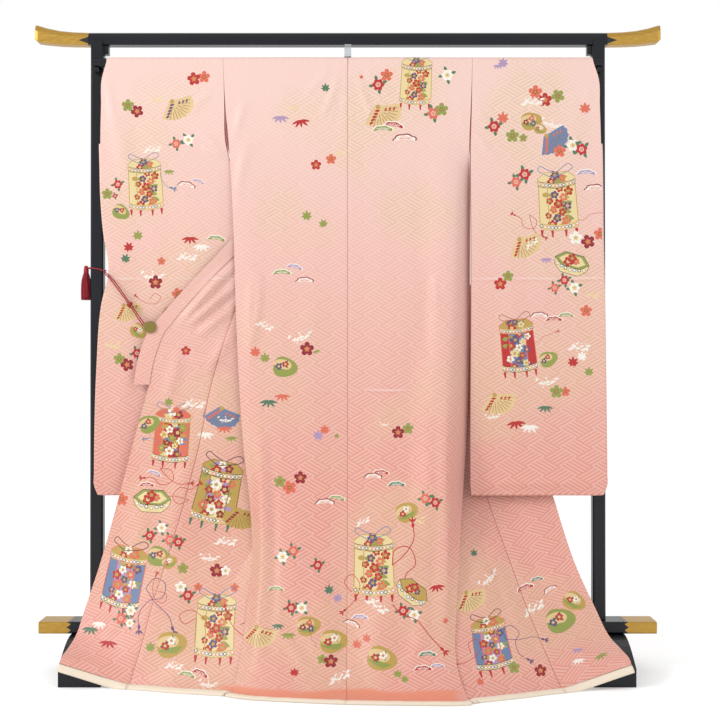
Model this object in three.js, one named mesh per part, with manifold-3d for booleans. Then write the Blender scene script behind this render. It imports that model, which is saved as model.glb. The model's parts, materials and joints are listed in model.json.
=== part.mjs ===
// A furisode kimono shown from its back on a lacquered kimono stand. Millimetres, +Z up.
// The origin is at the middle of the footprint, on the floor. -Y is the side that shows the garment's back.
// "reach" is how far a point stands in front of the plane of the stand's posts, towards -Y.
import * as THREE from "three";
import { mergeVertices } from "three/addons/utils/BufferGeometryUtils.js";
import Module from "manifold-3d";

const wasm = await Module();
wasm.setup();

// ---------- Driving dimensions ----------
const POST_PLANE_Y = 96.716; // y of the plane of the posts, which centres the footprint
const CLOTH = 2; // wall of the lined silk
const COLLAR_CLOTH = 4; // the collar is folded double
const GAP = 0.3; // between pieces that touch or are sewn together
const SEAM_INSET = GAP / 2 + 0.05; // how far each sewn edge stops short of its seam line

const SHOULDER_X = 325; // centre seam to armhole seam
const NECK_X = 88.6; // half the neck slit
const ROD_RADIUS = 12;
const ROD_REACH = 36;
const ROD_Z = 1593.5;
const ROD_HALF = 668;
const ROD_TURN_STEP = 30; // degrees between the cloth's rows round the rod
// Middle of the cloth where it lies over the rod, wide enough for its flat facets to clear the rod.
const FOLD_RADIUS = (ROD_RADIUS + GAP) / Math.cos(THREE.MathUtils.degToRad(ROD_TURN_STEP / 2)) + CLOTH / 2;

const RAIL_BOTTOM = 1646;
const RAIL_HEIGHT = 34;
const RAIL_HALF_DEPTH = 17;
const RAIL_HALF = 683; // black part; the gold ends go on to RAIL_TIP
const RAIL_TIP = 823;
const POST_X = 660;
const POST_HALF = 17;
const LOW_RAIL_BOTTOM = 103;
const LOW_RAIL_TOP = 134;
const LOW_RAIL_HALF = 720;
const LOW_RAIL_TIP = 805;
const LOW_RAIL_HALF_DEPTH = 45;
const FOOT_INNER = 614;
const FOOT_OUTER = 720;
const FOOT_REACH = 200;
const FOOT_END_HEIGHT = 46;

const PADDING_WIDTH = 20; // the padded lining edge that shows all along the hem
const PADDING_HEIGHT = 9;

// ---------- Materials ----------
const material = (color, roughness, metalness = 0) =>
  new THREE.MeshStandardMaterial({ color, roughness, metalness });
const SILK = material(0xf0b4ac, 0.45);
const COLLAR_SILK = material(0xf2b8b0, 0.42);
const PADDED_SILK = material(0xfbf0dc, 0.6);
const LACQUER = material(0x10131c, 0.2);
const GOLD = material(0xc9a24a, 0.3, 0.9);
const RED_CORD = material(0xb01a30, 0.7);
const CLIP_METAL = material(0xa8973f, 0.4, 0.6);
const CLEAR_PLASTIC = material(0xe8eef0, 0.15);

// ---------- Frame helpers ----------
const at = (x, reach, z) => new THREE.Vector3(x, POST_PLANE_Y - reach, z);
const mix = (a, b, t) => a + (b - a) * t;

const group = new THREE.Group();
function add(name, geometry, look) {
  const mesh = new THREE.Mesh(geometry, look);
  mesh.name = name;
  group.add(mesh);
  return mesh;
}

// A smooth curve through (knot, value) pairs, whose slopes come from the neighbours on each side.
function smooth(knots, values, t) {
  const last = knots.length - 1;
  let i = 0;
  while (i < last - 1 && t > knots[i + 1]) i++;
  const slope = (k) => (values[k + 1] - values[k]) / (knots[k + 1] - knots[k]);
  const tangent = (k) => {
    if (k === 0) return slope(0);
    if (k === last) return slope(last - 1);
    const before = knots[k] - knots[k - 1];
    const after = knots[k + 1] - knots[k];
    return (slope(k - 1) * after + slope(k) * before) / (before + after);
  };
  const width = knots[i + 1] - knots[i];
  const s = (t - knots[i]) / width;
  const s2 = s * s;
  const s3 = s2 * s;
  return (
    values[i] * (2 * s3 - 3 * s2 + 1) +
    tangent(i) * width * (s3 - 2 * s2 + s) +
    values[i + 1] * (3 * s2 - 2 * s3) +
    tangent(i + 1) * width * (s3 - s2)
  );
}

// Reads a table column at a height: table rows run from the top down.
const column = (table, pick) => {
  const rows = [...table].reverse();
  const knots = rows.map((row) => row.z);
  const values = rows.map(pick);
  return (z) => smooth(knots, values, z);
};

// A wall of even thickness on both sides of a middle surface: shared points, and cells of 3 or 4 corners.
function clothWall(points, cells, thickness, normals = null) {
  const triangles = cells.flatMap((c) =>
    c.length === 4 ? [[c[0], c[1], c[2]], [c[0], c[2], c[3]]] : [c],
  );
  const out = normals ?? vertexNormals(points, triangles);
  const count = points.length;
  const positions = [];
  for (const side of [0.5, -0.5])
    points.forEach((p, i) => positions.push(...p.clone().addScaledVector(out[i], side * thickness)));
  const index = [];
  const edges = new Map();
  for (const [a, b, c] of triangles) {
    index.push(a, b, c, a + count, c + count, b + count);
    for (const [from, to] of [[a, b], [b, c], [c, a]]) {
      if (edges.has(to + "," + from)) edges.delete(to + "," + from);
      else edges.set(from + "," + to, [from, to]);
    }
  }
  for (const [from, to] of edges.values())
    index.push(from, from + count, to + count, from, to + count, to);
  return new THREE.BufferGeometry()
    .setAttribute("position", new THREE.Float32BufferAttribute(positions, 3))
    .setIndex(index);
}

function vertexNormals(points, triangles) {
  const normals = points.map(() => new THREE.Vector3());
  const ab = new THREE.Vector3();
  const ac = new THREE.Vector3();
  for (const [a, b, c] of triangles) {
    ab.subVectors(points[b], points[a]);
    ac.subVectors(points[c], points[a]);
    ab.cross(ac);
    for (const i of [a, b, c]) normals[i].add(ab);
  }
  return normals.map((n) => n.normalize());
}

// Cells of a grid of points stored row by row; keep says which cells exist.
function gridCells(rows, columns, keep = () => true) {
  const cells = [];
  for (let r = 0; r < rows - 1; r++)
    for (let c = 0; c < columns - 1; c++)
      if (keep(r, c)) {
        const i = r * columns + c;
        cells.push([i, i + 1, i + columns + 1, i + columns]);
      }
  return cells;
}

// Cells that use a point set with gaps in it, as a wall with only the points that it needs.
function compactWall(points, cells, thickness, normals) {
  const order = [...new Set(cells.flat())];
  const place = new Map(order.map((old, i) => [old, i]));
  return clothWall(
    order.map((i) => points[i]),
    cells.map((c) => c.map((i) => place.get(i))),
    thickness,
    order.map((i) => normals[i]),
  );
}

// ---------- The back of the body, from the shoulder down to the hem ----------
// For each height: x and reach at the side seam, at the shoulder of the side fold, then reach at the
// middle of the panel and at the centre seam.
const BACK_LEFT = [
  { z: 1593.5, side: [-325, 49.3], fold: [-293, 49.3], middle: 49.3, centre: 49.3 },
  { z: 1480, side: [-319, 49.5], fold: [-290, 50], middle: 50, centre: 50 },
  { z: 1380, side: [-310, 49.5], fold: [-285, 51], middle: 52, centre: 52 },
  { z: 1150, side: [-297, 54.5], fold: [-272, 57], middle: 58, centre: 57 },
  { z: 940, side: [-290, 60], fold: [-262, 65], middle: 68, centre: 65 },
  { z: 760, side: [-281, 68], fold: [-252, 76], middle: 80, centre: 74 },
  { z: 600, side: [-269, 80], fold: [-246, 91], middle: 97, centre: 90 },
  { z: 420, side: [-247, 106], fold: [-230, 120], middle: 134, centre: 127 },
  { z: 290, side: [-240, 143], fold: [-222, 160], middle: 175, centre: 166 },
  { z: 180, side: [-252, 188], fold: [-230, 204], middle: 218, centre: 212 },
  { z: 100, side: [-260, 228], fold: [-238, 242], middle: 257, centre: 252 },
  { z: 60, side: [-266, 250], fold: [-243, 264], middle: 283, centre: 277 },
  { z: 30, side: [-272, 270], fold: [-248, 284], middle: 307, centre: 305 },
  { z: 12, side: [-278, 279], fold: [-253, 295], middle: 325, centre: 334 },
  { z: 5, side: [-283, 284], fold: [-258, 301], middle: 333, centre: 361 },
];
const BACK_RIGHT = [
  { z: 1593.5, side: [325, 49.3], fold: [293, 49.3], middle: 49.3, centre: 49.3 },
  { z: 1480, side: [321, 49.5], fold: [290, 50], middle: 50, centre: 50 },
  { z: 1380, side: [317, 48], fold: [287, 51], middle: 52, centre: 52 },
  { z: 1290, side: [319, 32], fold: [294, 52], middle: 55, centre: 54 },
  { z: 1150, side: [320, 23], fold: [296, 54], middle: 58, centre: 57 },
  { z: 940, side: [319, 23], fold: [291, 62], middle: 67, centre: 65 },
  { z: 760, side: [316, 24], fold: [284, 74], middle: 78, centre: 74 },
  { z: 600, side: [309, 30], fold: [276, 89], middle: 96, centre: 90 },
  { z: 455, side: [298, 52], fold: [268, 116], middle: 128, centre: 119 },
  { z: 400, side: [291, 90], fold: [264, 128], middle: 141, centre: 132 },
  { z: 290, side: [281, 148], fold: [254, 164], middle: 180, centre: 166 },
  { z: 180, side: [271, 206], fold: [246, 220], middle: 229, centre: 212 },
  { z: 100, side: [265, 256], fold: [242, 266], middle: 273, centre: 252 },
  { z: 60, side: [269, 288], fold: [244, 296], middle: 301, centre: 277 },
  { z: 30, side: [278, 322], fold: [252, 328], middle: 331, centre: 305 },
  { z: 12, side: [287, 350], fold: [262, 355], middle: 353, centre: 334 },
  { z: 5, side: [291, 364], fold: [268, 370], middle: 369, centre: 361 },
];

// ---------- The fronts, which are pulled out to the sides ----------
// For each height, across the cloth: x and reach at the side seam; at the turn of the pleat behind the back
// panel, with the pleat's depth; at the seam of the overlap panel; at the collar seam, which is the
// overlap's own edge below the collar's end; and at the collar's free edge. A third number is a height.
const FRONT_LEFT = [
  { z: 1593.5, side: [-325, 22.7], turn: [-214, 22.7, 0], seam: [-138, 22.7],
    edge: [-88.6, 22.7], free: [-70, 17, 1548] },
  { z: 1480, side: [-321, 22], turn: [-214, 6, 0], seam: [-150, 0],
    edge: [-122, -3], free: [-100, -22, 1450] },
  { z: 1380, side: [-316, 27], turn: [-186, 4, 4], seam: [-142, -20],
    edge: [-150, -34], free: [-160, -66] },
  { z: 1320, side: [-300, 45], turn: [-166, 8, 8], seam: [-158, -18],
    edge: [-176, -30], free: [-206, -52] },
  { z: 1260, side: [-297, 48], turn: [-150, 12, 12], seam: [-178, -16],
    edge: [-205, -24], free: [-248, -34] },
  { z: 1148, side: [-292, 51], turn: [-166, 34, 14], seam: [-222, 18], edge: [-248, 32], free: [-292, 44] },
  { z: 1040, side: [-288, 55], turn: [-176, 42, 12], seam: [-272, 43], edge: [-345, 46], free: [-389, 49] },
  { z: 940, side: [-284, 57.5], turn: [-184, 48, 12], seam: [-297, 44.5],
    edge: [-436, 49], free: [-479, 50] },
  { z: 881, side: [-281, 60], turn: [-190, 50, 12], seam: [-318, 47], edge: [-482, 50], free: [-524, 50] },
  { z: 752, side: [-275, 65.5], turn: [-197, 55, 12], seam: [-357, 52],
    edge: [-516, 54], free: [-556, 54] },
  { z: 600, side: [-263, 77.5], turn: [-206, 66, 12], seam: [-386, 63],
    edge: [-557, 57], free: [-590, 52] },
  { z: 420, side: [-241, 103.5], turn: [-214, 90, 12], seam: [-431, 92],
    edge: [-604, 62], free: [-640, 52] },
  { z: 290, side: [-235, 140.5], turn: [-270, 130, 0], seam: [-468, 118],
    edge: [-639, 74], free: [-670, 60] },
  { z: 180, side: [-247, 185], turn: [-345, 164, 0], seam: [-499, 150],
    edge: [-673, 94], free: [-700, 80] },
  { z: 105, side: [-255, 224], turn: [-360, 198, 0], seam: [-516, 176],
    edge: [-692, 124, 112], free: [-715, 104, 112] },
  { z: 60, side: [-261, 247], turn: [-372, 221, 0], seam: [-528, 191],
    edge: [-704, 168, 87], free: [-730, 150, 87] },
  { z: 25, side: [-270, 269], turn: [-388, 242, 0], seam: [-537, 203],
    edge: [-711, 206, 74], free: [-738, 196, 74] },
  { z: 10, side: [-277, 281], turn: [-394, 254, 0], seam: [-541, 209],
    edge: [-713, 212, 62], free: [-740, 203, 62] },
];
const FRONT_RIGHT = [
  { z: 1593.5, side: [325, 22.7], turn: [214, 22.7, 0], seam: [138, 22.7],
    edge: [88.6, 22.7], free: [70, 17, 1548] },
  { z: 1480, side: [322, 21], turn: [214, 4, 0], seam: [148, -3], edge: [120, -6], free: [98, -26, 1450] },
  { z: 1380, side: [318, 22], turn: [196, 2, 0], seam: [150, -22], edge: [140, -34], free: [140, -68] },
  { z: 1260, side: [319, 20], turn: [180, 2, 12], seam: [168, -26], edge: [186, -36], free: [224, -52] },
  { z: 1148, side: [319, 18.5], turn: [178, -2, 16], seam: [196, -26], edge: [230, -32], free: [272, -36] },
  { z: 1040, side: [318, 18.5], turn: [182, -2, 18], seam: [226, -16], edge: [270, -20], free: [314, -20] },
  { z: 940, side: [317, 18.5], turn: [188, 0, 18], seam: [252, -9], edge: [316, -11], free: [360, -11] },
  { z: 850, side: [316, 19], turn: [196, 2, 18], seam: [280, -4], edge: [358, -5], free: [402, -5] },
  { z: 752, side: [314, 19.5], turn: [204, 6, 18], seam: [306, 1], edge: [394, -1], free: [434, -1] },
  { z: 600, side: [307, 25], turn: [214, 14, 20], seam: [340, 8], edge: [466, 4], free: [500, 4] },
  { z: 455, side: [296, 47], turn: [232, 30, 30], seam: [367, 14], edge: [541, 9], free: [573, 8] },
  { z: 400, side: [287, 84], turn: [250, 70, 20], seam: [384, 38], edge: [556, 24], free: [588, 20] },
  { z: 290, side: [275, 142], turn: [300, 120, 0], seam: [422, 80], edge: [589, 58], free: [620, 50] },
  { z: 180, side: [265, 201], turn: [340, 172, 0], seam: [459, 128], edge: [636, 84], free: [668, 78] },
  { z: 105, side: [259, 249], turn: [358, 214, 0], seam: [488, 178],
    edge: [668, 124, 110], free: [700, 110, 110] },
  { z: 60, side: [263, 281], turn: [374, 248, 0], seam: [506, 212],
    edge: [690, 168, 86], free: [720, 150, 86] },
  { z: 25, side: [275, 318], turn: [396, 282, 0], seam: [520, 233],
    edge: [703, 202, 70], free: [730, 190, 70] },
  { z: 8, side: [288, 353], turn: [404, 303, 0], seam: [528, 245],
    edge: [706, 209, 58], free: [735, 200, 58] },
];
const ARMHOLE_BOTTOM = 1380;
const OVERLAP_TOP = 1300; // where the overlap panel comes to its point on the collar seam
const OVERLAP_FULL = 1000; // where it has its own seam line
const COLLAR_END = 752; // how low the collar's two ends hang

// Main folds: from and to are x and z of the fold's ends, width across it, depth towards the viewer.
const FOLDS_LEFT = [
  { from: [-300, 1108], to: [-492, 912], width: 15, depth: 7 },
  { from: [-300, 1040], to: [-486, 896], width: 17, depth: 9 },
  { from: [-300, 962], to: [-484, 886], width: 15, depth: 5 },
];
const FOLDS_BACK_LEFT = [
  { from: [-236, 1060], to: [-250, 780], width: 16, depth: 5 },
  { from: [-226, 620], to: [-214, 60], width: 20, depth: 9 },
  { from: [-60, 300], to: [-40, 40], width: 32, depth: 7 },
];
const FOLDS_BACK_RIGHT = [
  { from: [196, 1060], to: [214, 800], width: 18, depth: -4 },
  { from: [96, 260], to: [70, 30], width: 34, depth: 8 },
  { from: [262, 700], to: [238, 140], width: 18, depth: 6 },
];

// How far folds push a point out: a soft ridge that fades at both ends.
function foldRelief(folds, x, z) {
  let relief = 0;
  for (const { from, to, width, depth } of folds) {
    const [dx, dz] = [to[0] - from[0], to[1] - from[1]];
    const length = Math.hypot(dx, dz);
    const along = ((x - from[0]) * dx + (z - from[1]) * dz) / (length * length);
    const across = ((x - from[0]) * dz - (z - from[1]) * dx) / length;
    if (along <= 0 || along >= 1) continue;
    relief += depth * Math.sin(Math.PI * along) ** 0.7 * Math.exp(-((across / width) ** 2));
  }
  return relief;
}

// ---------- Surfaces ----------
function backSurface(table, folds) {
  const sideX = column(table, (row) => row.side[0]);
  const sideReach = column(table, (row) => row.side[1]);
  const foldX = column(table, (row) => row.fold[0]);
  const foldReach = column(table, (row) => row.fold[1]);
  const middle = column(table, (row) => row.middle);
  const centre = column(table, (row) => row.centre);
  // across runs from 0 at the side seam to 1 at the centre seam
  return (across, z) => {
    const x = smooth([0, 0.1, 1], [sideX(z), foldX(z), 0], across);
    const reach = smooth([0, 0.1, 0.5, 1], [sideReach(z), foldReach(z), middle(z), centre(z)], across);
    const fade = Math.min(1, across / 0.12, (1 - across) / 0.12);
    return at(x, reach + fade * foldRelief(folds, x, z), z);
  };
}

// across: 0 side seam, 1 turn of the pleat, 2 overlap seam, 3 collar seam, 4 collar's free edge
function frontSurface(table, folds) {
  const lines = ["side", "turn", "seam", "edge", "free"].map((key) => [
    column(table, (row) => row[key][0]),
    column(table, (row) => row[key][1]),
    column(table, (row) => row[key][2] ?? row.z),
  ]);
  const knots = [0, 0.75, 1, 1.25, 2, 3, 4];
  return (across, z) => {
    const [side, turn, seam, edge, free] = lines.map((line) => line.map((read) => read(z)));
    const depth = turn[2];
    // The two layers of the pleat run close to its turn.
    const layer = (a, b, i) => mix(a[i], b[i], 0.8);
    const x = smooth(
      knots,
      [side[0], layer(side, turn, 0), turn[0], layer(seam, turn, 0), seam[0], edge[0], free[0]],
      across,
    );
    const near = layer(side, turn, 1) + depth * 0.3;
    const far = layer(seam, turn, 1) - depth * 0.3;
    const reach = smooth(knots, [side[1], near, turn[1], far, seam[1], edge[1], free[1]], across);
    const height = smooth([0, 2, 3, 4], [z, z, edge[2], free[2]], across);
    const relief = across > 1.6 ? foldRelief(folds, x, height) : 0;
    return at(x, reach + relief, across < 2 ? z : height);
  };
}

// Where the overlap's seam lies on the front surface: at 2 where the panel has its full cut, at 3 at its point.
const seamAcross = (z) => 2 + THREE.MathUtils.clamp((z - OVERLAP_FULL) / (OVERLAP_TOP - OVERLAP_FULL), 0, 1);

const surfaces = {
  left: { back: backSurface(BACK_LEFT, FOLDS_BACK_LEFT), front: frontSurface(FRONT_LEFT, FOLDS_LEFT) },
  right: { back: backSurface(BACK_RIGHT, FOLDS_BACK_RIGHT), front: frontSurface(FRONT_RIGHT, []) },
};

// ---------- Body panels: one length of cloth from the back hem over the rod to the front hem ----------
const BACK_HEIGHTS = [
  5, 12, 30, 60, 100, 140, 180, 235, 290, 345, 400, 455, 525, 600, 680, 760, 850, 940, 1045, 1150, 1220, 1290,
  1380, 1480, 1560,
];
// Round the rod, from the back to the front.
const ROD_TURNS = [0, 1, 2, 3, 4, 5, 6].map((i) => i * ROD_TURN_STEP);
const FRONT_HEIGHTS = [
  1560, 1480, 1430, 1380, 1320, 1260, 1200, 1148, 1094, 1040, 990, 940, 881, 815, 752, 676, 600, 520, 455, 400,
  345, 290, 235, 180, 140, 105, 60, 25,
];
const BODY_COLUMNS = 11; // across the back half; the neck slit takes the last three of them
const FRONT_COLUMNS = 8;
const OVERLAP_COLUMNS = 4;

const rodPoint = (x, degrees, radius = FOLD_RADIUS) => {
  const turn = THREE.MathUtils.degToRad(degrees);
  return at(x, ROD_REACH + radius * Math.cos(turn), ROD_Z + radius * Math.sin(turn));
};

// The front's columns lie closer together round the turn of the pleat.
const frontAcross = (c, boundary) => smooth([0, 2, 4, 6, FRONT_COLUMNS], [0, 0.62, 1, 1.38, boundary], c);

const nudge = (point, towards, distance) =>
  point.clone().add(towards.clone().sub(point).setLength(distance));

function bodyPanels(hand) {
  const sign = hand === "left" ? -1 : 1;
  const { back, front } = surfaces[hand];
  const lowest = hand === "left" ? FRONT_LEFT.at(-1).z : FRONT_RIGHT.at(-1).z;
  const frontHeights = [...FRONT_HEIGHTS, lowest];
  const columns = BODY_COLUMNS + OVERLAP_COLUMNS + 1;
  const points = [];
  const blank = new THREE.Vector3();
  // Rows of the back, then round the rod; the columns past the body's own stay blank.
  for (const z of BACK_HEIGHTS)
    for (let c = 0; c < columns; c++)
      points.push(c <= BODY_COLUMNS ? back(c / BODY_COLUMNS, z) : blank);
  for (const degrees of ROD_TURNS)
    for (let c = 0; c < columns; c++)
      points.push(c <= BODY_COLUMNS ? rodPoint(sign * SHOULDER_X * (1 - c / BODY_COLUMNS), degrees) : blank);
  const frontStart = BACK_HEIGHTS.length + ROD_TURNS.length;
  for (const z of frontHeights) {
    const boundary = seamAcross(z);
    for (let c = 0; c < columns; c++) {
      const across =
        c <= FRONT_COLUMNS
          ? frontAcross(c, boundary)
          : mix(boundary, 3, Math.min(1, (c - FRONT_COLUMNS) / OVERLAP_COLUMNS));
      points.push(front(across, z));
    }
  }
  const rows = frontStart + frontHeights.length;
  const neckRow = BACK_HEIGHTS.length + ROD_TURNS.indexOf(90);
  const overlapRow = frontStart + frontHeights.findIndex((z) => z < OVERLAP_TOP - 30);
  const flip = (cells) => (sign < 0 ? cells : cells.map((cell) => [...cell].reverse()));
  const bodyCells = flip(
    gridCells(rows, columns, (r, c) => c < FRONT_COLUMNS || (r < neckRow && c < BODY_COLUMNS)),
  );
  const lastColumn = FRONT_COLUMNS + OVERLAP_COLUMNS;
  const overlapCells = flip(
    gridCells(rows, columns, (r, c) => r >= overlapRow && c >= FRONT_COLUMNS && c < lastColumn),
  );
  const allTriangles = [...bodyCells, ...overlapCells].flatMap((c) => [
    [c[0], c[1], c[2]],
    [c[0], c[2], c[3]],
  ]);
  const normals = vertexNormals(points, allTriangles);

  // Each piece stops short of its seams: the body at the centre seam, the overlap seam and the collar seam.
  const bodyPoints = points.map((p) => p.clone());
  const overlapPoints = points.map((p) => p.clone());
  for (let r = 0; r < rows; r++) {
    const row = r * columns;
    if (r <= neckRow) {
      const centre = row + BODY_COLUMNS;
      bodyPoints[centre] = nudge(points[centre], points[centre - 1], SEAM_INSET);
    }
    if (r > neckRow) {
      const seam = row + FRONT_COLUMNS;
      bodyPoints[seam] = nudge(points[seam], points[seam - 1], SEAM_INSET);
    }
    if (r >= overlapRow) {
      const seam = row + FRONT_COLUMNS;
      const edge = seam + OVERLAP_COLUMNS;
      overlapPoints[seam] = nudge(points[seam], points[seam + 1], SEAM_INSET);
      overlapPoints[edge] = nudge(points[edge], points[edge - 1], SEAM_INSET);
    }
  }
  add("body_" + hand, compactWall(bodyPoints, bodyCells, CLOTH, normals), SILK);
  add("overlap_" + hand, compactWall(overlapPoints, overlapCells, CLOTH, normals), SILK);
}
bodyPanels("left");
bodyPanels("right");

// ---------- Collar: one folded band from the left end, round the neck, to the right end ----------
const COLLAR_COLUMNS = 3;
const COLLAR_HEIGHTS = [
  COLLAR_END, 815, 881, 910, 940, 990, 1040, 1094, 1148, 1200, 1260, 1320, 1380, 1430, 1480, 1540,
];
const NECK_STEPS = [-88.6, -76, -58, -30, 0, 30, 58, 76, 88.6]; // x along the neck slit
const NECK_TURN = 104; // degrees round the rod where the band starts behind the back neck edge
const COLLAR_RADIUS = FOLD_RADIUS + 0.5;

function collar() {
  const points = [];
  const sideRow = (hand, z) => {
    const front = surfaces[hand].front;
    for (let c = 0; c <= COLLAR_COLUMNS; c++) {
      const t = c / COLLAR_COLUMNS;
      const p = front(3 + t, z);
      points.push(c === 0 ? nudge(p, front(3.3, z), CLOTH) : p);
    }
  };
  COLLAR_HEIGHTS.forEach((z) => sideRow("left", z));
  // Over the rod the band lies on its far side and hangs down behind it.
  for (const x of NECK_STEPS) {
    const share = 1 - 0.07 * Math.abs(x / NECK_X);
    const start = mix(NECK_TURN, 150, Math.abs(x / NECK_X) ** 3);
    points.push(rodPoint(x * share, start, COLLAR_RADIUS));
    points.push(rodPoint(x * share, (start + 180) / 2, COLLAR_RADIUS));
    points.push(rodPoint(x * share ** 2, 180, COLLAR_RADIUS));
    points.push(at(x * share ** 3, 18, ROD_Z - 44));
  }
  [...COLLAR_HEIGHTS].reverse().forEach((z) => sideRow("right", z));
  const rows = COLLAR_HEIGHTS.length * 2 + NECK_STEPS.length;
  return clothWall(points, gridCells(rows, COLLAR_COLUMNS + 1), COLLAR_CLOTH / 2);
}
add("collar", collar(), COLLAR_SILK);

// ---------- Sleeves: folded over the rod, sewn at the bottom and up the outer edge to the wrist ----------
const SLEEVE_LEFT = [
  { z: 1593.5, inner: -325.4, outer: -634, farOuter: -634, near: 49.3, far: 22.7 },
  { z: 1550, inner: -323.6, outer: -646, farOuter: -640, near: 49.3, far: 22.7 },
  { z: 1480, inner: -321.8, outer: -648, farOuter: -646, near: 49, far: 22.4 },
  { z: 1380, inner: -318.5, outer: -650, farOuter: -650, near: 46.5, far: 21.5 },
  { z: 1320, inner: -305, outer: -649, farOuter: -649, near: 43, far: 21 },
  { z: 1260, inner: -299, outer: -648, farOuter: -648, near: 41, far: 20.5 },
  { z: 1150, inner: -296, outer: -640, farOuter: -640, near: 38.5, far: 20 },
  { z: 1050, inner: -293, outer: -626, farOuter: -626, near: 37.5, far: 20 },
  { z: 960, inner: -292, outer: -645, farOuter: -645, near: 37, far: 20 },
  { z: 800, inner: -291, outer: -657, farOuter: -657, near: 37, far: 20 },
  { z: 640, inner: -290, outer: -662, farOuter: -662, near: 38, far: 20 },
  { z: 520, inner: -290, outer: -663, farOuter: -663, near: 38, far: 20 },
  { z: 490, inner: -290, outer: -663, farOuter: -663, near: 38, far: 20 },
  { z: 468, inner: -292, outer: -655, farOuter: -655, near: 36, far: 22 },
];
const SLEEVE_RIGHT = [
  { z: 1593.5, inner: 325.4, outer: 645, farOuter: 640, near: 49.3, far: 22.7 },
  { z: 1550, inner: 324.4, outer: 659, farOuter: 641, near: 49.3, far: 22.7 },
  { z: 1480, inner: 323.4, outer: 662, farOuter: 650, near: 49.3, far: 22.7 },
  { z: 1380, inner: 320.6, outer: 665, farOuter: 665, near: 49, far: 23 },
  { z: 1260, inner: 321, outer: 667, farOuter: 667, near: 48.5, far: 23.5 },
  { z: 1150, inner: 322, outer: 668, farOuter: 668, near: 48, far: 24 },
  { z: 1050, inner: 322, outer: 670, farOuter: 670, near: 48, far: 24 },
  { z: 960, inner: 322, outer: 672, farOuter: 672, near: 48, far: 24 },
  { z: 800, inner: 321, outer: 674, farOuter: 674, near: 47.5, far: 24 },
  { z: 640, inner: 320, outer: 676, farOuter: 676, near: 47, far: 24 },
  { z: 520, inner: 320, outer: 677, farOuter: 677, near: 46.5, far: 24 },
  { z: 490, inner: 320, outer: 677, farOuter: 677, near: 46, far: 24 },
  { z: 468, inner: 322, outer: 669, farOuter: 669, near: 43, far: 27 },
];
const SLEEVE_HEIGHTS = [
  468, 490, 560, 640, 720, 800, 880, 960, 1005, 1050, 1100, 1150, 1205, 1260, 1320, 1350, ARMHOLE_BOTTOM,
];
const ABOVE_WRIST = [1430, 1480, 1520, 1560];
const SLEEVE_COLUMNS = 8;
const EDGE_BULGE = 5; // how far the folded edges round out past the walls
const WAVES = [
  { x: 0.3, width: 0.1, depth: 3 },
  { x: 0.72, width: 0.14, depth: -3 },
];

function sleeve(hand, table) {
  const sign = hand === "left" ? -1 : 1;
  const read = Object.fromEntries(
    ["inner", "outer", "farOuter", "near", "far"].map((key) => [key, column(table, (row) => row[key])]),
  );
  const points = [];
  const put = (p) => points.push(p) - 1;
  const wave = (t, z) => {
    const grow = THREE.MathUtils.smoothstep(ARMHOLE_BOTTOM - z, 0, 500);
    return WAVES.reduce((sum, w) => sum + w.depth * grow * Math.exp(-(((t - w.x) / w.width) ** 2)), 0);
  };
  const wall = (face, z) => {
    const row = [];
    for (let c = 0; c <= SLEEVE_COLUMNS; c++) {
      const t = c / SLEEVE_COLUMNS;
      const outer = face === "near" ? read.outer(z) : read.farOuter(z);
      const bodyReach = z > ARMHOLE_BOTTOM - 1 ? Math.max(0, 1 - t * 3) : 0;
      const seamReach = face === "near" ? surfaces[hand].back(0, z) : surfaces[hand].front(0, z);
      const own = read[face](z);
      const reach = mix(own, POST_PLANE_Y - seamReach.y, bodyReach) + wave(t, z);
      const seamX = face === "near" || bodyReach === 0 ? read.inner(z) : seamReach.x + sign * GAP * 1.5;
      row.push(put(at(mix(seamX, outer - sign * EDGE_BULGE, t), reach, z)));
    }
    return row;
  };
  const heights = [...SLEEVE_HEIGHTS, ...ABOVE_WRIST];
  const near = heights.map((z) => wall("near", z));
  const far = heights.map((z) => wall("far", z));
  const over = ROD_TURNS.map((degrees) => {
    const share = degrees / 180;
    const outer = mix(read.outer(ROD_Z), read.farOuter(ROD_Z), share);
    const [start, end] = [sign * (SHOULDER_X + GAP * 1.5), outer - sign * EDGE_BULGE];
    return [...Array(SLEEVE_COLUMNS + 1).keys()].map((c) =>
      put(rodPoint(mix(start, end, c / SLEEVE_COLUMNS), degrees)),
    );
  });
  const cells = [];
  const band = (lower, upper) => {
    for (let c = 0; c < lower.length - 1; c++) cells.push([lower[c], lower[c + 1], upper[c + 1], upper[c]]);
  };
  const sheet = [...near, ...over, ...[...far].reverse()];
  sheet.slice(1).forEach((row, i) => band(sheet[i], row));
  // The sewn outer edge, from the bottom up to the wrist opening.
  const closed = SLEEVE_HEIGHTS.length;
  const middle = SLEEVE_HEIGHTS.map((z) => put(at(read.outer(z), (read.near(z) + read.far(z)) / 2, z)));
  for (let i = 0; i < closed - 1; i++) {
    cells.push([near[i].at(-1), middle[i], middle[i + 1], near[i + 1].at(-1)]);
    cells.push([middle[i], far[i].at(-1), far[i + 1].at(-1), middle[i + 1]]);
  }
  // The bottom fold.
  const bottom = SLEEVE_HEIGHTS[0];
  const keel = near[0].map((_, c) => {
    const p = points[near[0][c]];
    return put(at(p.x, (read.near(bottom) + read.far(bottom)) / 2, bottom - EDGE_BULGE));
  });
  for (let c = 0; c < SLEEVE_COLUMNS; c++) {
    cells.push([keel[c], keel[c + 1], near[0][c + 1], near[0][c]]);
    cells.push([keel[c + 1], keel[c], far[0][c], far[0][c + 1]]);
  }
  cells.push([keel.at(-1), middle[0], near[0].at(-1)]);
  cells.push([middle[0], keel.at(-1), far[0].at(-1)]);
  const turned = sign < 0 ? cells.map((cell) => [...cell].reverse()) : cells;
  return clothWall(points, turned, CLOTH);
}
add("sleeve_left", sleeve("left", SLEEVE_LEFT), SILK);
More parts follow.
